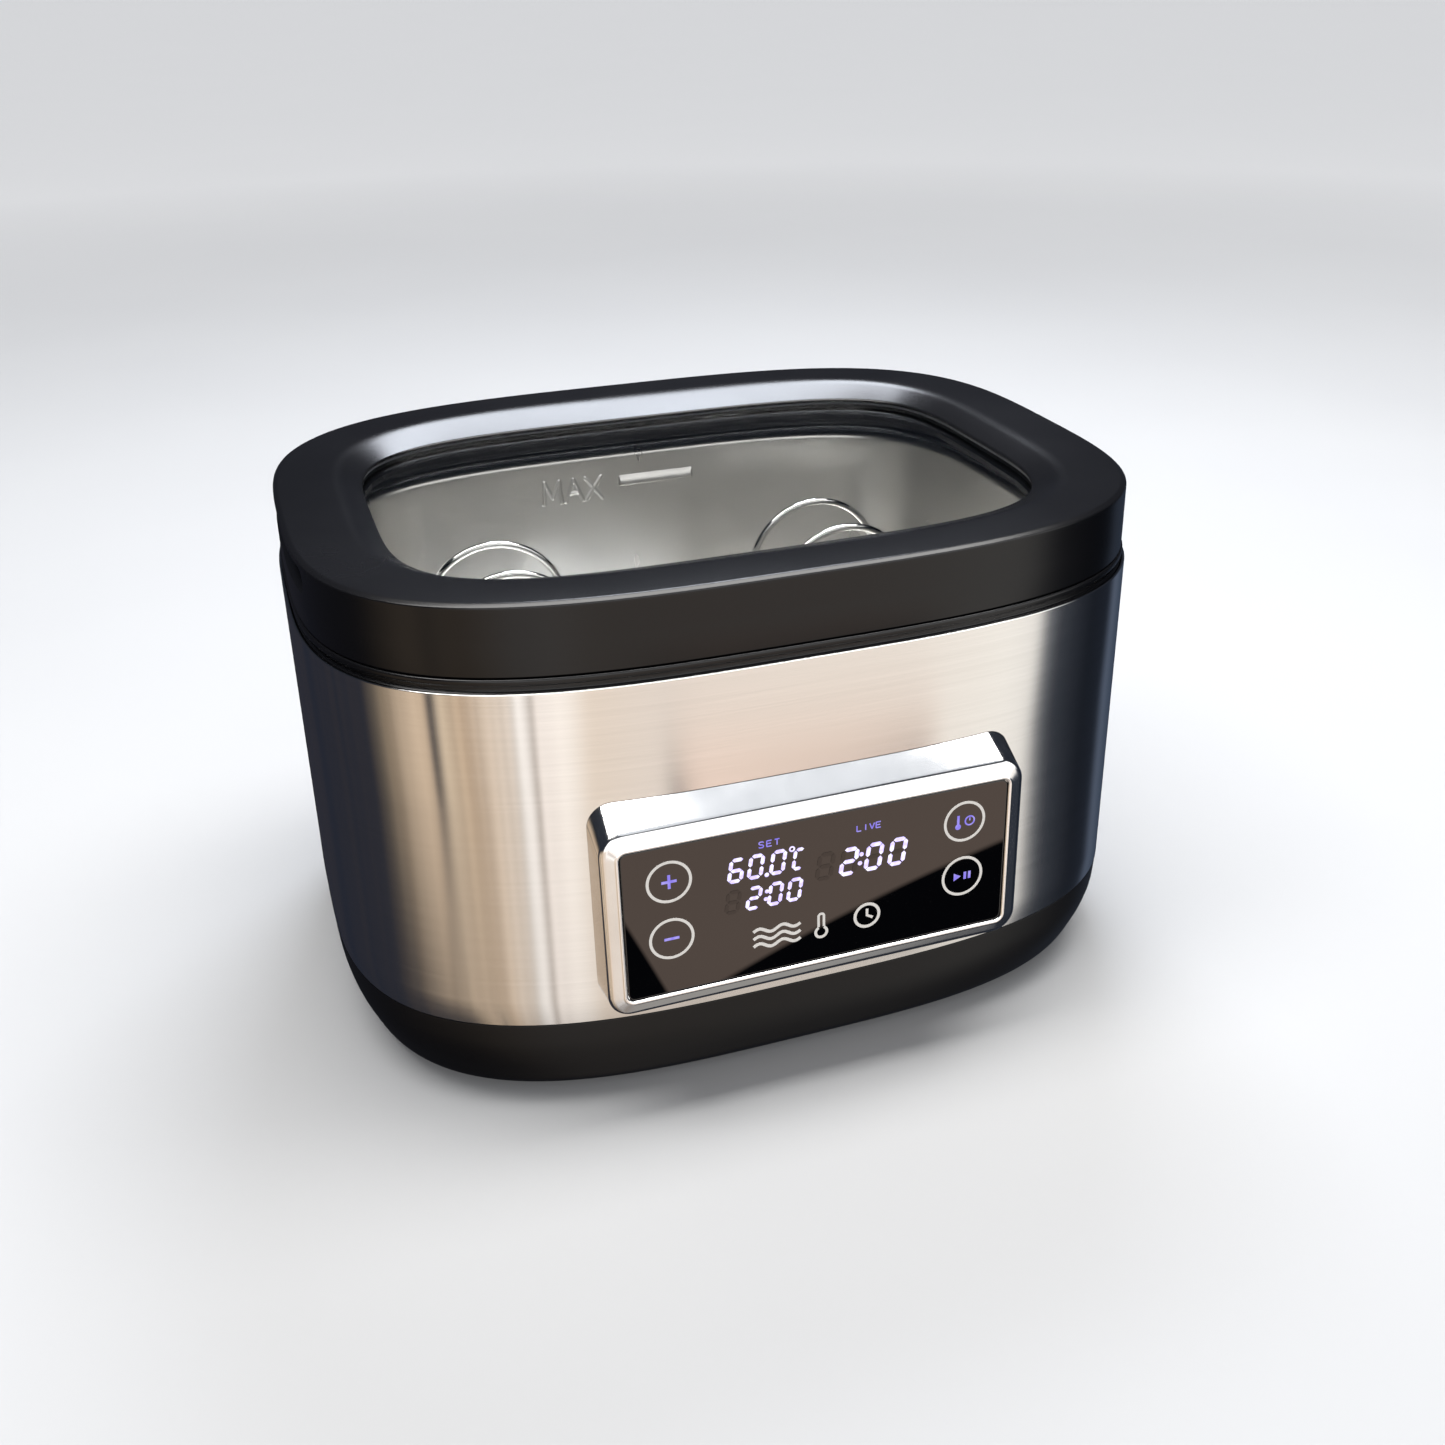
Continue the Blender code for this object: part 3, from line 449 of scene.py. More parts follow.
def section_of(corners, steps=5, closed=False):
    """Rounded section of (outline, z) pairs from (outline, z, reach) corners, or sharp (outline, z) ones."""
    rows = [(*outline, z, *(reach or [0.0])) for outline, z, *reach in corners]
    return [(Outline(*row[:3]), row[3]) for row in eased(rows, (0, 3), steps, closed)]


def placed(name, data):
    """New object in the scene."""
    made = bpy.data.objects.new(name, data)
    bpy.context.scene.collection.objects.link(made)
    return made


def meshed(name, bm, material):
    """Smooth mesh from a bmesh."""
    bmesh.ops.recalc_face_normals(bm, faces=bm.faces)
    mesh = bpy.data.meshes.new(name)
    bm.to_mesh(mesh)
    bm.free()
    mesh.shade_smooth()
    mesh.materials.append(material)
    return mesh


def piece(name, bm, surface, body, smooth_angle=40, slot=None, stands_for=None):
    """Finished piece from a bmesh in world coordinates."""
    bmesh.ops.remove_doubles(bm, verts=bm.verts, dist=1e-7)
    mesh = meshed(name, bm, MATERIALS[surface])
    mesh.set_sharp_from_angle(angle=radians(smooth_angle))
    made = placed(name, mesh)
    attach(made, body)
    if stands_for:
        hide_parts(stands_for)
    return made


def skin(bm, rings, closed_section, caps=True):
    """Quads between neighbouring closed rings of points."""
    loops = [[bm.verts.new(tuple(point)) for point in ring] for ring in rings]
    pairs = list(zip(loops, loops[1:]))
    if closed_section:
        pairs.append((loops[-1], loops[0]))
    for lower, upper in pairs:
        for i in range(len(lower)):
            j = (i + 1) % len(lower)
            bm.faces.new((lower[i], lower[j], upper[j], upper[i]))
    if not closed_section and caps:
        bm.faces.new(reversed(loops[0]))
        bm.faces.new(loops[-1])


def skinned(rings, closed_section):
    bm = bmesh.new()
    skin(bm, rings, closed_section)
    return bm


def casing_rings(section, angles):
    """Rings of points for a section of (outline, z) pairs."""
    return [np.insert(outline_points(outline, angles), 2, z, axis=1) for outline, z in section]


def swept(name, corners, surface, body, closed=True, steps=5, **more):
    """Casing from rounded (outline, z, reach) corners."""
    rings = casing_rings(section_of(corners, steps, closed), even_angles(SHELL_FOOT, AROUND))
    return piece(name, skinned(rings, closed), surface, body, **more)


def circle_points(centre, radius, z, sides):
    turn = 2 * pi / sides
    return [(centre[0] + radius * cos(turn * i), centre[1] + radius * sin(turn * i), z)
            for i in range(sides)]


def smooth_step(value, low, high):
    share = np.clip((value - low) / (high - low), 0.0, 1.0)
    return share * share * (3 - 2 * share)


# ---- lid
def finger_pocket_depth(points, top_z):
    """Share of the pocket's full depth at each point of the lid's skirt."""
    low, high = (top_z - below for below in POCKET_BELOW_TOP)
    half = np.array([POCKET_HALF_LENGTH, (high - low) / 2]) - POCKET_CORNER
    flat = np.stack([points[:, 1] - BODY_Y, points[:, 2] - (low + high) / 2], axis=-1)
    away = np.abs(flat) - half
    outside = np.hypot(*np.maximum(away, 0).T) + np.minimum(away.max(axis=1), 0) - POCKET_CORNER
    return 1.0 - smooth_step(outside, -0.0011, 0.0003)


def lid_ring():
    """Frame of the lid: skirt with finger pockets, flat top, and a slope down to the glass."""
    foot_z, top_z = z_range("lid_frame")
    seat_z = top_z - 0.0074
    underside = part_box("lid_glass")[0].z
    ledge_z = foot_z + 0.0026
    channel_z = foot_z + 0.0114
    skirt_z = np.linspace(top_z - POCKET_BELOW_TOP[0] - 0.0012, top_z - EDGE_DROP - 0.0012, 32)
    rebate = grown(GLASS_EDGE, 0.0006)

    def at(share):
        return between(LID_FOOT, DOWNSTAND, share)
    lower = section_of([
        (at(0.175), channel_z),
        (at(0.175), foot_z, 0.0004),
        (LID_FOOT, foot_z, 0.0007),
        (between(LID_FOOT, LID_TOP, 0.4), skirt_z[0] - 0.001)])
    skirt = [(between(LID_FOOT, LID_TOP, (z - foot_z) / (top_z - foot_z)), z) for z in skirt_z]
    upper = section_of([
        (LID_TOP, top_z - EDGE_DROP - 0.0012),
        (LID_TOP, top_z - EDGE_DROP, 0.0005),
        (grown(LID_TOP, -EDGE_RUN), top_z, 0.0005),
        (BEVEL, top_z, 0.003),
        (WINDOW, seat_z + 0.0011, 0.0009),
        (grown(WINDOW, 0.0002), seat_z, 0.0003),
        (rebate, seat_z),
        (rebate, underside),
        (DOWNSTAND, underside, 0.0006),
        (DOWNSTAND, ledge_z, 0.0006),
        (at(0.85), ledge_z, 0.0006),
        (at(0.83), channel_z)])
    ends = np.concatenate([np.linspace(0.0515, 0.06, 24), np.linspace(-0.06, -0.0515, 24)])
    dense = [angles_where(LID_TOP, 1, ends, side) for side in (-1, 1)]
    angles = merged_angles(LID_TOP, even_angles(LID_TOP, AROUND), *dense)
    rings = casing_rings(lower + skirt + upper[1:], angles)
    floor_x = LID_TOP.half_x - POCKET_DEPTH
    for ring in rings[len(lower):len(lower) + len(skirt)]:
        share = finger_pocket_depth(ring, top_z) * (np.abs(ring[:, 0]) > floor_x)
        ring[:, 0] += (np.sign(ring[:, 0]) * floor_x - ring[:, 0]) * share
    piece("lid_ring", skinned(rings, True), "black_plastic", "lid", stands_for="lid_frame")


def lid_glazing():
    """Pane, and the gasket above it."""
    low, high = z_range("lid_glass")
    swept("lid_pane", [(GLASS_EDGE, low, 0.0006), (GLASS_EDGE, high, 0.0006)], "clear_glass", "lid",
          closed=False, stands_for="lid_glass")
    low, high = z_range("lid_gasket")
    inner = grown(WINDOW, 0.0008)
    ring = [(inner, low), (inner, high), (GLASS_EDGE, high), (GLASS_EDGE, low)]
    swept("pane_gasket", [(*corner, 0.0003) for corner in ring], "silicone", "lid", stands_for="lid_gasket")


# ---- casing
def collar():
    """Rounded black collar between lid and shell."""
    low, high = z_range("top_rim")
    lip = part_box("lid_frame")[0].z - GAP
    shell_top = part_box("outer_shell")[1].z
    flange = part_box("inner_tank")[1].z + 0.0013

    def at(share):
        return between(RIM, RIM_OPENING, share)
    swept("rim_collar", [
        (at(1.0), flange, 0.0003), (at(1.0), high, 0.0008), (at(0.36), high, 0.0006),
        (at(0.32), lip, 0.0006), (at(-0.01), lip, 0.0011), (at(-0.01), lip - 0.0025, 0.0009),
        (at(0.05), lip - 0.0028, 0.0004), (at(0.05), shell_top + GAP, 0.0003),
        (at(0.01), shell_top - 0.0003), (at(0.01), low), (at(0.12), low),
        (at(0.12), lip - 0.003), (at(0.55), lip - 0.003), (at(0.55), flange)],
        "black_plastic", "casing", stands_for="top_rim")


def shell_wrap():
    """Brushed stainless wrap with an opening behind the control panel."""
    low, high = z_range("outer_shell")
    bezel_low, bezel_high = z_range("control_bezel")

    def at(z, inset=0.0):
        return grown(between(SHELL_FOOT, SHELL_TOP, (z - low) / (high - low)), -inset)
    levels = [bezel_low + 0.002, bezel_high - 0.002]
    outside = [(at(low), low, 0.0003), *((at(z), z) for z in levels), (at(high), high, 0.0005)]
    inside = [(at(high, SHEET), high, 0.0002), *((at(z, SHEET), z) for z in reversed(levels)),
              (at(low, SHEET), low)]
    shell = swept("shell_wrap", outside + inside, "brushed_steel", "casing", steps=4,
                  stands_for="outer_shell")
    middle_z = sum(z_range("control_glass")) / 2
    cut(shell, (0.0, BODY_Y - SHELL_FOOT.half_y, middle_z), (0.12, 0.04, 0.045))


def cut(target, centre, size):
    """Subtract a box from a piece, exactly, and keep the result as its mesh."""
    cutter = bmesh.new()
    box = Matrix.Translation(centre) @ Matrix.Diagonal((*size, 1.0))
    bmesh.ops.create_cube(cutter, size=1.0, matrix=box)
    mesh = bpy.data.meshes.new("cutter")
    cutter.to_mesh(mesh)
    cutter.free()
    tool = placed("cutter", mesh)
    modifier = target.modifiers.new("cut", "BOOLEAN")
    modifier.operation, modifier.solver, modifier.object = "DIFFERENCE", "EXACT", tool
    bpy.context.view_layer.update()
    shaped = bpy.data.meshes.new_from_object(target.evaluated_get(bpy.context.evaluated_depsgraph_get()))
    target.modifiers.clear()
    target.data = shaped
    bpy.data.objects.remove(tool)


def base_tub():
    """Black tub with a rolled lower edge."""
    low, high = z_range("base_housing")
    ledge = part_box("outer_shell")[0].z - GAP

    def at(inset):
        return grown(SHELL_FOOT, -inset)
    base = swept("base_tub", [
        (at(0.0001), ledge, 0.0004), (at(0.0008), 0.024, 0.01), (at(0.0085), low + 0.0012, 0.0065),
        (at(0.015), low, 0.003), (at(0.045), low, 0.0004), (at(0.045), low + 0.0025),
        (at(0.0125), low + 0.0025), (at(0.0055), 0.013), (at(0.0036), 0.025),
        (at(0.0036), high, 0.0002), (at(0.0015), high, 0.0002), (at(0.0015), ledge)],
        "base_plastic", "casing", slot="black_plastic", stands_for="base_housing", steps=8)
    middle_z = sum(z_range("inlet_body")) / 2
    cut(base, (0.0, BODY_Y + SHELL_FOOT.half_y, middle_z), (0.0276, 0.016, 0.0201))


# ---- inner tank
LETTERS = (                     # place and strokes of each letter of the level mark, in letter heights
    (0.0, [[(0, 0), (0.08, 1), (0.42, 0.25), (0.76, 1), (0.84, 0)]]),
    (1.02, [[(0, 0), (0.4, 1), (0.8, 0)], [(0.16, 0.36), (0.64, 0.36)]]),
    (1.98, [[(0, 0), (0.74, 1)], [(0, 1), (0.74, 0)]]))
LETTER_HEIGHT = 0.0108
LETTER_RELIEF = 0.00045
BAR_RELIEF = 0.0014


def distance_to_stroke(points, start, end):
    """Distance of flat points from one straight stroke."""
    along = np.subtract(end, start)
    share = np.clip(((points - start) @ along) / (along @ along), 0.0, 1.0)
    return np.linalg.norm(points - start - share[:, None] * along, axis=1)


def level_mark_height(points):
    """How far the level mark stands out of the tank's rear wall at flat (x, z) points."""
    left, low = -0.0425, 0.1645
    nearest = np.full(len(points), 1.0)
    for offset, lines in LETTERS:
        for line in lines:
            spots = [(left + (offset + u) * LETTER_HEIGHT, low + v * LETTER_HEIGHT) for u, v in line]
            for start, end in zip(spots, spots[1:]):
                nearest = np.minimum(nearest, distance_to_stroke(points, start, end))
    letters = LETTER_RELIEF * (1.0 - smooth_step(nearest, 0.0002, 0.0011))
    # the bar slopes out from its upper edge, so that its face looks up at the light
    start, end, bar_z, half = -0.0035, 0.033, 0.1722, 0.0023
    beyond = np.maximum(start - points[:, 0], points[:, 0] - end)
    down = np.clip((bar_z + half - points[:, 1]) / (2 * half), 0.0, 1.0)
    below = smooth_step(bar_z - half - points[:, 1], 0.0, 0.0007)
    slope = BAR_RELIEF * down * (2.0 - down) * (1.0 - below)
    return np.maximum(letters, slope * (1.0 - smooth_step(beyond, 0.0, 0.001)))


def tank_liner():
    """Satin tank with a rolled flange, a rounded floor and a level mark at the rear."""
    floor_z, top = z_range("inner_tank")
    flange = between(RIM, RIM_OPENING, 0.6)
    radius_z = 0.022
    mark_z = np.linspace(0.1622, 0.1778, 54)
    beside = 0.001              # from the level mark's rows to the plain wall

    def wall(z, inset):
        share = (z - floor_z - radius_z) / (top - 0.0035 - floor_z - radius_z)
        return grown(between(TANK_WAIST, TANK_MOUTH, share), -inset)

    def cup(inset):
        """Floor and wall up to the level mark."""
        low, edge = floor_z + inset, mark_z[0] - beside
        return section_of([
            (between(TANK_FLOOR, TANK_WAIST, -0.9), low), (TANK_FLOOR, low, 0.014),
            (grown(TANK_WAIST, -inset), floor_z + radius_z, 0.013), (wall(edge, inset), edge)],
            8) + [(wall(z, inset), z) for z in mark_z]
    edge = mark_z[-1] + beside
    rim = section_of([
        (wall(edge, 0.0), edge),
        (grown(TANK_MOUTH, 0.0003), top - SHEET, 0.0015),
        (flange, top - SHEET),
        (flange, top),
        (grown(TANK_MOUTH, -SHEET), top, 0.0034),
        (wall(edge, SHEET), edge)], 8)
    dense = angles_where(TANK_MOUTH, 0, np.linspace(-0.045, 0.036, 262), 1)
    angles = merged_angles(TANK_MOUTH, even_angles(TANK_MOUTH, AROUND), dense)
    rings = casing_rings(cup(0.0) + rim + cup(SHEET)[::-1], angles)
    for ring in rings:
        if mark_z[0] <= ring[0, 2] <= mark_z[-1]:
            ring[:, 1] -= level_mark_height(ring[:, [0, 2]]) * (ring[:, 1] > BODY_Y)
    piece("tank_liner", skinned(rings, False), "satin_steel", "casing", stands_for="inner_tank")


# ---- rack
def tube(bm, path, radius, closed=False, sides=14):
    """Round wire along points, with rounded ends."""
    points = [Vector(p) for p in path]
    count = len(points)
    turn = 2 * pi / sides
    rings, side = [], None
    for i, point in enumerate(points):
        before = points[i - 1] if (i or closed) else point
        after = points[(i + 1) % count] if (i + 1 < count or closed) else point
        along = (after - before).normalized()
        if side is None:
            side = along.orthogonal().normalized()
        side = (side - along * side.dot(along)).normalized()
        other = along.cross(side)

        def ring_at(centre, size):
            return [centre + (side * cos(turn * k) + other * sin(turn * k)) * size for k in range(sides)]
        end = 0 if closed else (i == 0) - (i == count - 1)
        inset = along * radius * end
        caps = [ring_at(point + inset * (1 - cos(a)), radius * sin(a)) for a in (0.35, 0.8) if end]
        ring = ring_at(point + inset, radius)
        rings += [*caps, ring] if end >= 0 else [ring, *caps[::-1]]
    skin(bm, rings, closed)


def bend(corner, start, end, steps=6):
    """Points that round a right-angled corner of a wire, as (x, z) pairs."""
    centre = [c + (e - s) * WIRE_BEND for c, s, e in zip(corner, start, end)]
    return [tuple(m + WIRE_BEND * (s * sin(a) - e * cos(a)) for m, s, e in zip(centre, start, end))
            for a in (pi / 2 * step / steps for step in range(steps + 1))]


def rack_wires():
    """Base ring on four feet, and four wires across it, each bent into two hoops."""
    foot_z, ring_top = z_range("rack_ring")
    wire_low, wire_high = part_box("rack_wire_1")
    hoop_wire = (wire_high.y - wire_low.y) / 2
    ring_wire = hoop_wire + 0.0002
    ring_z = ring_top - ring_wire
    outline = outline_of("rack_ring", RACK_RING_EXPONENT, ring_wire)
    bm = bmesh.new()
    plan = outline_points(outline, even_angles(outline, 120))
    tube(bm, [(x, y, ring_z) for x, y in plan], ring_wire, closed=True, sides=16)
    piece("rack_base_ring", bm, "bright_steel", "rack", stands_for="rack_ring")
    feet = bmesh.new()
    for x in (-RACK_FOOT_X, RACK_FOOT_X):
        for side in (-1, 1):
            top = (x, BODY_Y + side * edge_y(outline, x), ring_z - ring_wire)
            tube(feet, [top, (*top[:2], (top[2] + foot_z) / 2), (*top[:2], foot_z)], hoop_wire)
    piece("rack_feet", feet, "bright_steel", "rack")
    row_z = wire_low.z + hoop_wire
    centre_z = wire_high.z - hoop_wire - HOOP_RADIUS
    path = [(wire_low.x, row_z)]
    right, up, down = (1, 0), (0, 1), (0, -1)
    for x in (-HOOP_X, HOOP_X):
        path += bend((x - HOOP_RADIUS, row_z), right, up)
        path += [(x - HOOP_RADIUS * cos(pi * i / 32), centre_z + HOOP_RADIUS * sin(pi * i / 32))
                 for i in range(33)]
        path += bend((x + HOOP_RADIUS, row_z), down, right)
    path.append((wire_high.x, row_z))
    for number in range(1, 5):
        node = "rack_wire_%d" % number
        low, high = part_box(node)
        row_y = (low.y + high.y) / 2
        wire = bmesh.new()
        tube(wire, [(x, row_y, z) for x, z in path], hoop_wire, sides=16)
        piece("rack_hoops_%d" % number, wire, "bright_steel", "rack", stands_for=node)


# ---- control panel
PANEL_LOW, PANEL_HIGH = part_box("control_glass")
PANEL_LEAN = (PANEL_HIGH.y - PANEL_LOW.y - PANEL_GLASS_THICKNESS) / (PANEL_HIGH.z - PANEL_LOW.z)


def panel_y(z, depth=0.0):
    """World y of the control glass's face at height z, moved into the panel by depth."""
    return PANEL_LOW.y + PANEL_LEAN * (z - PANEL_LOW.z) + depth


def shell_front_y(x, z):
    """World y of the shell's front surface."""
    low, high = z_range("outer_shell")
    return BODY_Y - edge_y(between(SHELL_FOOT, SHELL_TOP, (z - low) / (high - low)), x)


def rounded_frame(half_x, low_z, high_z, corner, corner_steps=10, long_steps=36, short_steps=14):
    """Closed list of (x, z) points round an upright rounded rectangle."""
    centres = ((half_x - corner, low_z + corner, -90), (half_x - corner, high_z - corner, 0),
               (corner - half_x, high_z - corner, 90), (corner - half_x, low_z + corner, 180))
    arcs = []
    for x, z, start in centres:
        turns = np.radians(np.linspace(start, start + 90, corner_steps + 1))
        arcs.append([(x + corner * cos(a), z + corner * sin(a)) for a in turns])
    points = []
    for arc, following, steps in zip(arcs, arcs[1:] + arcs[:1], (short_steps, long_steps) * 2):
        points += [*arc, *np.linspace(arc[-1], following[0], steps + 1)[1:-1]]
    return points


def framed(outset):
    """Half width, lower and upper edge of the control glass, moved outwards."""
    return PANEL_HIGH.x + outset, PANEL_LOW.z - outset, PANEL_HIGH.z + outset


def panel_rings(corners, steps, *counts):
    """Rings round the control glass from (outset, corner radius, depth, reach) rows."""
    rows = eased([(*framed(outset), *rest) for outset, *rest in corners], (0, 4), steps)
    return [[(x, panel_y(z, row[4]), z) for x, z in rounded_frame(*row[:4], *counts)] for row in rows]


def bezel():
    """Polished frame: a rounded lip, a crowned bevel and a flare back to the shell."""
    low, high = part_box("control_bezel")
    back = PANEL_GLASS_THICKNESS + GAP
    rings = panel_rings([
        (BEZEL_LIP + BEZEL_BEVEL, 0.009, BEZEL_BEVEL_DEPTH, 0.0008),
        (BEZEL_LIP + BEZEL_BEVEL * 0.78, 0.0078, 0.0009, 0.0012),
        (BEZEL_LIP, 0.0042, -0.0005, 0.0002), (BEZEL_LIP * 0.6, 0.0036, -0.0009, 0.0007),
        (GAP, 0.0028, -0.0004, 0.0004), (GAP, 0.0028, back, 0.0), (-0.0025, 0.002, back, 0.0)], 6)
    foot = rounded_frame((high.x - low.x) / 2, low.z, high.z, 0.01)
    ledge = rounded_frame(*framed(-0.0025), 0.002)
    on_shell = [[(x, shell_front_y(x, z) - GAP, z) for x, z in flat] for flat in (foot, ledge)]
    shoulder, foot_ring = np.array(rings[0]), np.array(on_shell[0])
    flare = [foot_ring + (shoulder - foot_ring) * share for share in (0.0, 0.25, 0.5, 0.75, 0.92)]
    piece("bezel_frame", skinned(flare + rings + [on_shell[1]], True), "polished_bezel", "casing",
          stands_for="control_bezel", smooth_angle=50)


def prism(bm, outline):
    """Flat mark on the control glass from its (x, z) outline."""
    skin(bm, [[(x, panel_y(z, depth), z) for x, z in outline] for depth in INK_DEPTHS], False)


def panel_glass():
    """Dark glass with softened edges."""
    rings = panel_rings([
        (0.0, 0.0025, PANEL_GLASS_THICKNESS, 0.0), (0.0, 0.0025, 0.0, 0.0003),
        (-0.0004, 0.0024, 0.0, 0.0), (-0.004, 0.002, 0.0, 0.0)], 3, 6, 2, 2)
    piece("panel_glass", skinned(rings, False), "smoked_glass", "casing", stands_for="control_glass")


def mark(name, bm, surface):
    """Printed or lit mark on the control glass."""
    piece(name, bm, surface, "casing", slot="smoked_glass")


INK_DEPTHS = (-0.00002, -0.0001)        # under and upper face of a mark, in front of the glass
SEGMENT_ENDS = {                        # the seven strokes of a digit, in half heights from its middle
    "a": ((0, 1), (1, 1)), "b": ((1, 0), (1, 1)), "c": ((1, -1), (1, 0)), "d": ((0, -1), (1, -1)),
    "e": ((0, -1), (0, 0)), "f": ((0, 0), (0, 1)), "g": ((0, 0), (1, 0))}
DIGITS = {"0": "abcdef", "2": "abged", "6": "acdefg", "8": "abcdefg", "C": "adef"}
SLANT = 0.155


def bar(bm, start, end, width, pointed=False):
    """Straight mark from start to end, with square or pointed ends."""
    start, end = np.array(start, float), np.array(end, float)
    along = (end - start) / np.linalg.norm(end - start)
    across = np.array((-along[1], along[0])) * width / 2
    tip = along * width / 2
    if pointed:
        outline = [start, start + tip - across, end - tip - across,
                   end, end - tip + across, start + tip + across]
    else:
        outline = [start - across, end - across, end + across, start + across]
    prism(bm, outline)


Face = namedtuple("Face", "low width height stroke")    # a row of digits: its foot and its measures
HEAT = Face(0.1022, 0.0047, 0.0089, 0.0015)
SMALL_TIME = Face(0.089, 0.0045, 0.0086, 0.00145)
LARGE_TIME = Face(0.0954, 0.0055, 0.0103, 0.0017)
LIVE_PLACES = (("2", 0.0078), ("0", 0.018), ("0", 0.0278))


def digit(bm, symbol, left, face, lit=True):
    """Slanted seven-stroke digit whose lower left stroke starts at left."""
    low, width, height, stroke = face
    for key, ends in SEGMENT_ENDS.items():
        if (key in DIGITS[symbol]) != lit:
            continue
        places = []
        for column, row in ends:
            z = low + height * (row + 1) / 2
            places.append(np.array((left + column * width + SLANT * (z - low), z)))
        gap = (places[1] - places[0]) / np.linalg.norm(places[1] - places[0]) * stroke * 0.16
        bar(bm, places[0] + gap, places[1] - gap, stroke, pointed=True)


def dot(bm, x, z, radius, sides=20):
    prism(bm, [spot[:2] for spot in circle_points((x, z), radius, 0.0, sides)])


def hoop(bm, x, z, radius, stroke, start=0.0, end=360.0, steps=72):
    """Ring or part of a ring, drawn on the glass."""
    whole = end - start >= 360.0
    angles = [radians(start + (end - start) * i / steps) for i in range(steps + (not whole))]
    edges = [[(x + size * cos(a), z + size * sin(a)) for a in angles]
             for size in (radius - stroke / 2, radius + stroke / 2)]
    if not whole:
        prism(bm, edges[0] + edges[1][::-1])
        return
    under, upper = INK_DEPTHS
    rings = [[(u, panel_y(v, depth), v) for u, v in edge] for edge, depth in (
        (edges[0], under), (edges[0], upper), (edges[1], upper), (edges[1], under))]
    skin(bm, rings, True)


def set_and_live_digits():
    """Lit digits: set temperature over set time, and running time on the right."""
    left = bmesh.new()
    for symbol, x in (("6", -0.0366), ("0", -0.0289), ("0", -0.0202)):
        digit(left, symbol, x, HEAT)
    dot(left, -0.0217, HEAT.low, 0.0009)
    digit(left, "C", -0.0113, Face(HEAT.low, 0.0034, 0.008, 0.0014))
    hoop(left, -0.0116, 0.111, 0.0009, 0.0006, steps=24)
    for symbol, x in (("2", -0.0298), ("0", -0.0213), ("0", -0.0136)):
        digit(left, symbol, x, SMALL_TIME)
    for z in (0.0918, 0.095):
        dot(left, -0.0227 + SLANT * (z - SMALL_TIME.low), z, 0.0008)
    mark("digits_left", left, "lit_segment")
    right = bmesh.new()
    for symbol, x in LIVE_PLACES:
        digit(right, symbol, x, LARGE_TIME)
    for z in (0.0988, 0.1026):
        dot(right, 0.0152 + SLANT * (z - 0.095), z, 0.0009)
    mark("digits_right", right, "lit_segment")
    off = bmesh.new()
    digit(off, "8", -0.0018, LARGE_TIME)
    digit(off, "8", -0.038, SMALL_TIME)
    for symbol, x in LIVE_PLACES:
        digit(off, symbol, x, LARGE_TIME, lit=False)
    mark("digits_off", off, "unlit_segment")


CAPTIONS = {                            # strokes of each letter in a unit box
    "S": [[(1, 0.85), (0.8, 1), (0.2, 1), (0, 0.78), (0.2, 0.55), (0.8, 0.45), (1, 0.22), (0.8, 0), (0.2, 0),
           (0, 0.15)]],
    "E": [[(1, 1), (0, 1), (0, 0), (1, 0)], [(0, 0.5), (0.85, 0.5)]],
    "T": [[(0, 1), (1, 1)], [(0.5, 1), (0.5, 0)]],
    "L": [[(0, 1), (0, 0), (0.9, 0)]],
    "I": [[(0.5, 1), (0.5, 0)]],
    "V": [[(0, 1), (0.5, 0), (1, 1)]]}


def captions():
    """Small lit words over the two displays."""
    bm = bmesh.new()
    wide, high = 0.0019, 0.0024
    for word, left, low, pitch in (("SET", -0.0246, 0.1142, 0.0031), ("LIVE", 0.0144, 0.1128, 0.0026)):
        for index, letter in enumerate(word):
            for line in CAPTIONS[letter]:
                spots = [(left + index * pitch + u * wide, low + v * high) for u, v in line]
                for start, end in zip(spots, spots[1:]):
                    bar(bm, start, end, 0.00045)
    mark("display_captions", bm, "lit_symbol")


def touch_marks():
    """Printed rings with lit symbols: plus, minus, heat or time, play or pause."""
    pads = {name: [(a + b) / 2 for a, b in zip(*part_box("touch_pad_" + name))]
            for name in ("left_upper", "left_lower", "right_upper", "right_lower")}
    rings = bmesh.new()
    for x, _, z in pads.values():
        hoop(rings, x, z, 0.0082, 0.0011)
    mark("touch_rings", rings, "printed_ink")
    symbols = bmesh.new()
    x, _, z = pads["left_upper"]
    bar(symbols, (x - 0.0029, z), (x + 0.0029, z), 0.0011)
    for side in (-1, 1):
        bar(symbols, (x, z + side * 0.00055), (x, z + side * 0.0029), 0.0011)
    x, _, z = pads["left_lower"]
    bar(symbols, (x - 0.0029, z), (x + 0.0029, z), 0.0011)
    x, _, z = pads["right_upper"]
    bar(symbols, (x - 0.0027, z - 0.0012), (x - 0.0027, z + 0.0029), 0.001)
    dot(symbols, x - 0.0027, z - 0.002, 0.0012)
    hoop(symbols, x + 0.0022, z, 0.0019, 0.0006, steps=32)
    bar(symbols, (x + 0.0022, z), (x + 0.0022, z + 0.0013), 0.0005)
    x, _, z = pads["right_lower"]
    prism(symbols, [(x - 0.0036, z - 0.0017), (x - 0.0006, z), (x - 0.0036, z + 0.0017)])
    for offset in (0.0012, 0.0031):
        bar(symbols, (x + offset, z - 0.0016), (x + offset, z + 0.0016), 0.0011)
    mark("touch_symbols", symbols, "lit_symbol")


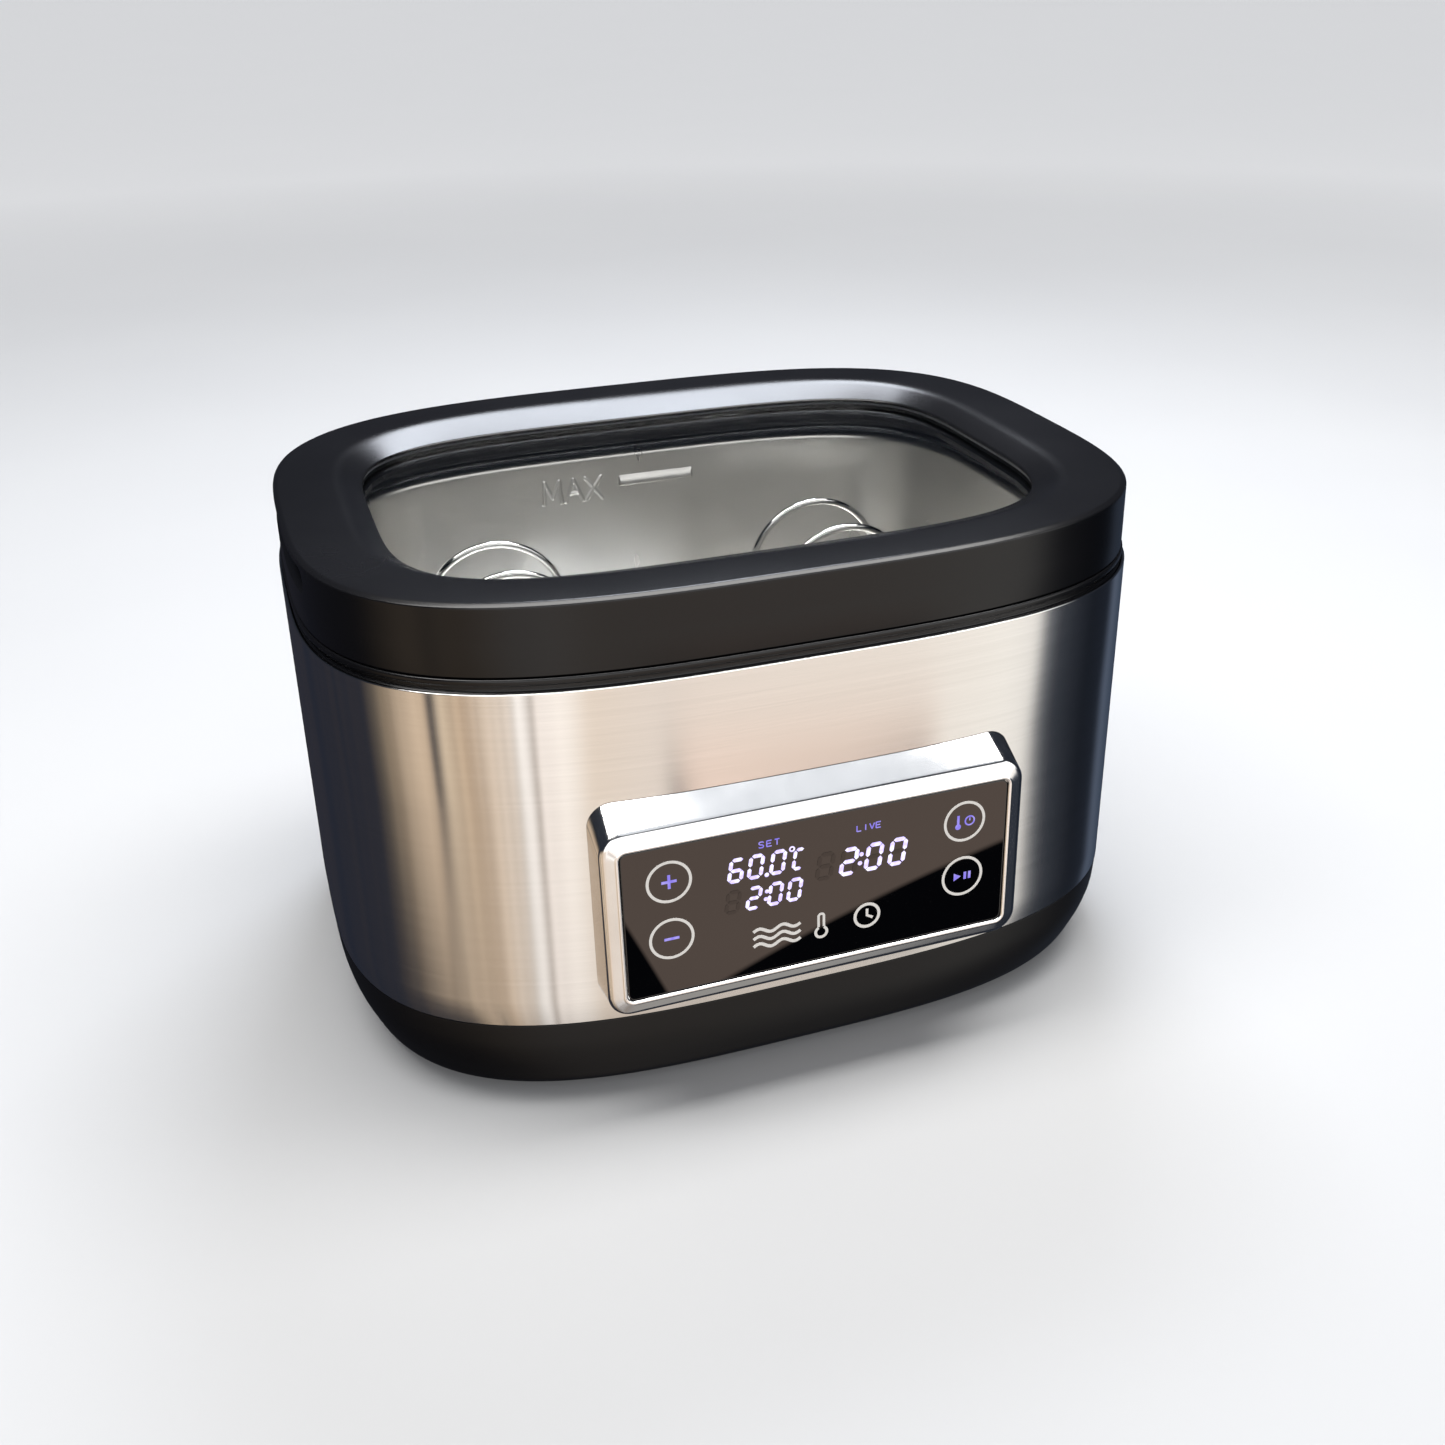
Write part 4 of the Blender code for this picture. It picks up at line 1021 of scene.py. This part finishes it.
def panel_pictograms():
    """Plain printed signs for water, heat and time."""
    bm = bmesh.new()
    middle_z, clock_x = 0.0748, 0.019
    for row in (-0.0033, 0.0, 0.0033):
        spots = [(-0.0275 + 0.019 * i / 32, middle_z + row + 0.001 * sin(pi * i / 8)) for i in range(33)]
        ribbon(bm, spots, 0.0013)
    hoop(bm, 0.0, middle_z - 0.003, 0.0023, 0.0011, 118, 422, 40)
    for side in (-1, 1):
        bar(bm, (side * 0.0011, middle_z - 0.0006), (side * 0.0011, middle_z + 0.0041), 0.001)
    hoop(bm, 0.0, middle_z + 0.0041, 0.0011, 0.001, 0, 180, 16)
    hoop(bm, clock_x, middle_z, 0.005, 0.0012)
    hands = [(clock_x, middle_z + 0.0029), (clock_x, middle_z), (clock_x + 0.0024, middle_z - 0.0014)]
    ribbon(bm, hands, 0.0011)
    mark("panel_pictograms", bm, "printed_ink")


def ribbon(bm, spots, width):
    """Line of even width through flat (x, z) spots."""
    line = np.array(spots, float)
    run = np.gradient(line, axis=0)
    across = np.stack([-run[:, 1], run[:, 0]], axis=-1) / np.linalg.norm(run, axis=1)[:, None] * width / 2
    prism(bm, [*(line - across), *(line + across)[::-1]])


# ---- small parts
def rubber_feet():
    """Turned bumpers with a softened edge and a shallow dish."""
    for number in range(1, 5):
        node = "foot_%d" % number
        low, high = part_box(node)
        centre = ((low.x + high.x) / 2, (low.y + high.y) / 2)
        radius = (high.x - low.x) / 2
        rows = eased([(0.002, low.z + 0.0006, 0.0), (radius * 0.55, low.z + 0.0006, 0.0004),
                      (radius * 0.68, low.z, 0.0005), (radius * 0.92, low.z, 0.0007),
                      (radius, high.z - 0.0004, 0.0004), (radius, high.z, 0.0)], (0, 1), 4)
        bm = skinned([circle_points(centre, r, z, 48) for r, z in rows], False)
        piece("bumper_%d" % number, bm, "rubber", "casing", stands_for=node)


def inherited_nodes():
    """Give every CAD node that stays its slot's material."""
    for part in frame["record"]["subparts"]:
        node = frame["nodes"][part["node"]]
        for slot in node.material_slots:
            slot.material = MATERIALS[part["material_slot"]]


# ---- studio
AZIMUTH_GLOW = (                        # degrees from straight in front towards +X, and the light from there
    (-180, (0.014, 0.02, 0.036)), (-100, (0.022, 0.027, 0.042)), (-92, (0.14, 0.12, 0.1)),
    (-85, (0.36, 0.28, 0.2)), (-66, (0.88, 0.68, 0.5)), (-60.5, (0.9, 0.69, 0.5)),
    (-58, (0.06, 0.06, 0.07)), (-56, (0.06, 0.06, 0.07)), (-53, (0.88, 0.71, 0.53)), (-42, (0.76, 0.56, 0.39)),
    (-30, (0.98, 0.82, 0.68)), (-25, (1.02, 0.88, 0.76)), (-22.5, (1.45, 1.38, 1.32)),
    (-19.5, (1.35, 1.25, 1.18)), (-18.4, (0.34, 0.27, 0.22)), (-17, (1.3, 1.18, 1.1)),
    (-9, (1.25, 1.15, 1.06)), (-4, (0.98, 0.83, 0.7)), (8, (0.98, 0.86, 0.77)), (22, (1.03, 0.93, 0.84)),
    (45, (1.12, 1.07, 1.0)), (54, (1.05, 1.01, 0.96)), (58.5, (0.16, 0.17, 0.19)),
    (64, (0.036, 0.042, 0.056)), (85, (0.012, 0.015, 0.022)), (102, (0.014, 0.018, 0.028)),
    (112, (0.1, 0.125, 0.18)), (124, (0.06, 0.08, 0.12)), (150, (0.026, 0.034, 0.06)),
    (180, (0.014, 0.02, 0.036)))


def studio_world():
    """Surroundings that only reflections see, inside plain pale ones for everything else."""
    bpy.context.scene.world = bpy.data.worlds.new("studio")
    g = Graph("studio", bpy.context.scene.world, "Background", "Generated")
    x, y, z = g.split(g.place)
    azimuth = g.times(g.math("ARCTAN2", x, g.times(y, -1.0)), 180 / pi)
    elevation = g.times(g.math("ARCSINE", z), 180 / pi)
    # towards the left the bright field ends further forward the lower one looks
    leftward = g.remap(azimuth, -55.0, -30.0, 1.0, 0.0)
    drop = g.times(g.remap(elevation, -43.0, -30.0, 45.0, 0.0), leftward)
    pleats = g.combined(g.times(azimuth, 0.48), g.times(elevation, 0.012))
    folds = g.noise(1.0, 2.0, pleats)
    ramp = g.add("ValToRGB")
    g.join(g.remap(g.math("SUBTRACT", azimuth, drop), -180.0, 180.0), ramp.inputs["Fac"])
    stops = ramp.color_ramp.elements
    for index, (angle, colour) in enumerate(AZIMUTH_GLOW):
        stop = stops[index] if index < 2 else stops.new(1.0)
        stop.position = (angle + 180) / 360
        stop.color = (*colour, 1.0)
    creased = g.remap(folds, 0.38, 0.62, 0.0, 0.3)
    field = g.mix(g.times(creased, g.remap(azimuth, -20.0, -5.0, 1.0, 0.0)),
                  ramp.outputs["Color"], (0.1, 0.07, 0.05))
    # a warm card in front, cut off along a slanting line and at its left end
    above_line = g.math("ADD", elevation, g.math("MULTIPLY_ADD", azimuth, -0.433, 28.2 + 0.433 * 29.6))
    right_of_end = g.math("MULTIPLY_ADD", g.math("ADD", azimuth, -13.0), 2.7,
                          g.times(g.math("ADD", elevation, 31.0), 1.7))
    lit = g.times(g.remap(above_line, -0.1, 0.1), g.remap(right_of_end, -0.3, 0.3))
    card = g.mix(lit, (0.012, 0.014, 0.022), (1.13, 0.86, 0.72))
    near = g.times(g.near(azimuth, 21.5, 10.0, 13.0), g.near(elevation, -30.2, 5.5, 8.0))
    low = g.mix(near, field, card)
    low = g.mix(g.remap(elevation, -62.0, -32.0, 0.72, 0.0), low, (0.02, 0.022, 0.028))
    # white screen in front above eye level, dark room behind, pale ceiling
    screen = g.times(g.near(azimuth, 12.0, 48.0, 58.0), g.remap(elevation, 38.0, 48.0, 1.0, 0.0))
    raised = g.mix(screen, (0.022, 0.026, 0.036), (2.0, 2.0, 2.0))
    overhead = g.mix(g.near(azimuth, 35.0, 50.0, 70.0), (1.15, 1.13, 1.1), (0.28, 0.29, 0.31))
    ceiling = g.mix(g.remap(elevation, 54.0, 72.0), raised, overhead)
    seen = g.mix(g.remap(elevation, -6.0, 8.0), low, ceiling)
    rays = g.add("LightPath").outputs
    soft = g.mix(rays["Is Camera Ray"], (0.28, 0.285, 0.3), (0.8, 0.81, 0.82))
    g.join(g.mix(rays["Is Glossy Ray"], soft, seen), g.shader.inputs["Color"])


def bearing(azimuth, elevation):
    """Direction from the object, azimuth measured from straight in front towards +X."""
    a, e = radians(azimuth), radians(elevation)
    return Vector((sin(a) * cos(e), -cos(a) * cos(e), sin(e)))


def soft_box(name, azimuth, elevation, distance, width, height, radiance, colour):
    """Rectangular studio light that faces the object."""
    light = bpy.data.lights.new(name, "AREA")
    light.shape = "RECTANGLE"
    light.size, light.size_y = width, height
    light.energy = radiance * pi * width * height
    light.color = colour
    made = placed(name, light)
    back = bearing(azimuth, elevation)
    made.location = Vector((0.0, BODY_Y, 0.11)) + back * distance
    made.rotation_mode = "QUATERNION"
    made.rotation_quaternion = back.to_track_quat("Z", "Y")


def floor():
    """Plain pale floor that curves up far behind, which reflections don't see."""
    g = Graph("studio_floor")
    cloud = g.noise(3.0, 3.0)
    away = g.add("VectorMath", {0: g.place}, operation="LENGTH").outputs["Value"]
    g.finish(g.mix(cloud, (0.5, 0.505, 0.515), (0.54, 0.545, 0.55)),
             g.spread(cloud, 0.8, 0.9), Emission_Color=(0.97, 0.98, 1.0, 1.0),
             Emission_Strength=g.remap(away, 0.3, 2.6, 0.06, 0.52))
    bm = bmesh.new()
    rings = [circle_points((0.0, 0.0), r, z, 96) for r, z in (
        (0.01, 0.0), (1.0, 0.0), (4.0, 0.0), (9.0, 0.0), (11.0, 0.35), (12.0, 1.2), (12.4, 3.0), (12.5, 9.0))]
    skin(bm, rings, False, caps=False)
    bmesh.ops.contextual_create(bm, geom=bm.verts[:96])
    made = placed("studio_floor", meshed("studio_floor", bm, g.material))
    made.visible_glossy = False
    made.visible_diffuse = False


def camera():
    """Camera at the picture's viewing angle."""
    a, r = radians(CAMERA_AZIMUTH), radians(CAMERA_ROLL)
    back = bearing(CAMERA_AZIMUTH, CAMERA_ELEVATION)
    right = Vector((cos(a), sin(a), 0.0))
    up = back.cross(right)
    data = bpy.data.cameras.new("view")
    data.sensor_width = 36.0
    data.lens = CAMERA_LENS
    made = placed("view", data)
    turned_right = right * cos(r) + up * sin(r)
    turned_up = up * cos(r) - right * sin(r)
    axes = Matrix((turned_right, turned_up, back)).transposed()
    made.matrix_world = Matrix.Translation(CAMERA_TARGET + back * CAMERA_DISTANCE) @ axes.to_4x4()
    bpy.context.scene.camera = made


# ---- assembly
make_materials()
camera()
studio_world()
soft_box("front_softbox", 40, 66, 1.7, 1.1, 0.75, 0.66, (0.93, 0.96, 1.0))
soft_box("rear_softbox", 157, 54, 1.3, 0.5, 0.34, 18.0, (0.86, 0.91, 1.0))
soft_box("overhead_softbox", 0, 88, 1.3, 1.9, 0.5, 9.6, (1.0, 0.985, 0.965))
floor()
inherited_nodes()
lid_ring()
lid_glazing()
collar()
shell_wrap()
base_tub()
tank_liner()
rack_wires()
bezel()
panel_glass()
set_and_live_digits()
captions()
touch_marks()
panel_pictograms()
rubber_feet()
bpy.context.scene.view_settings.view_transform = "Standard"
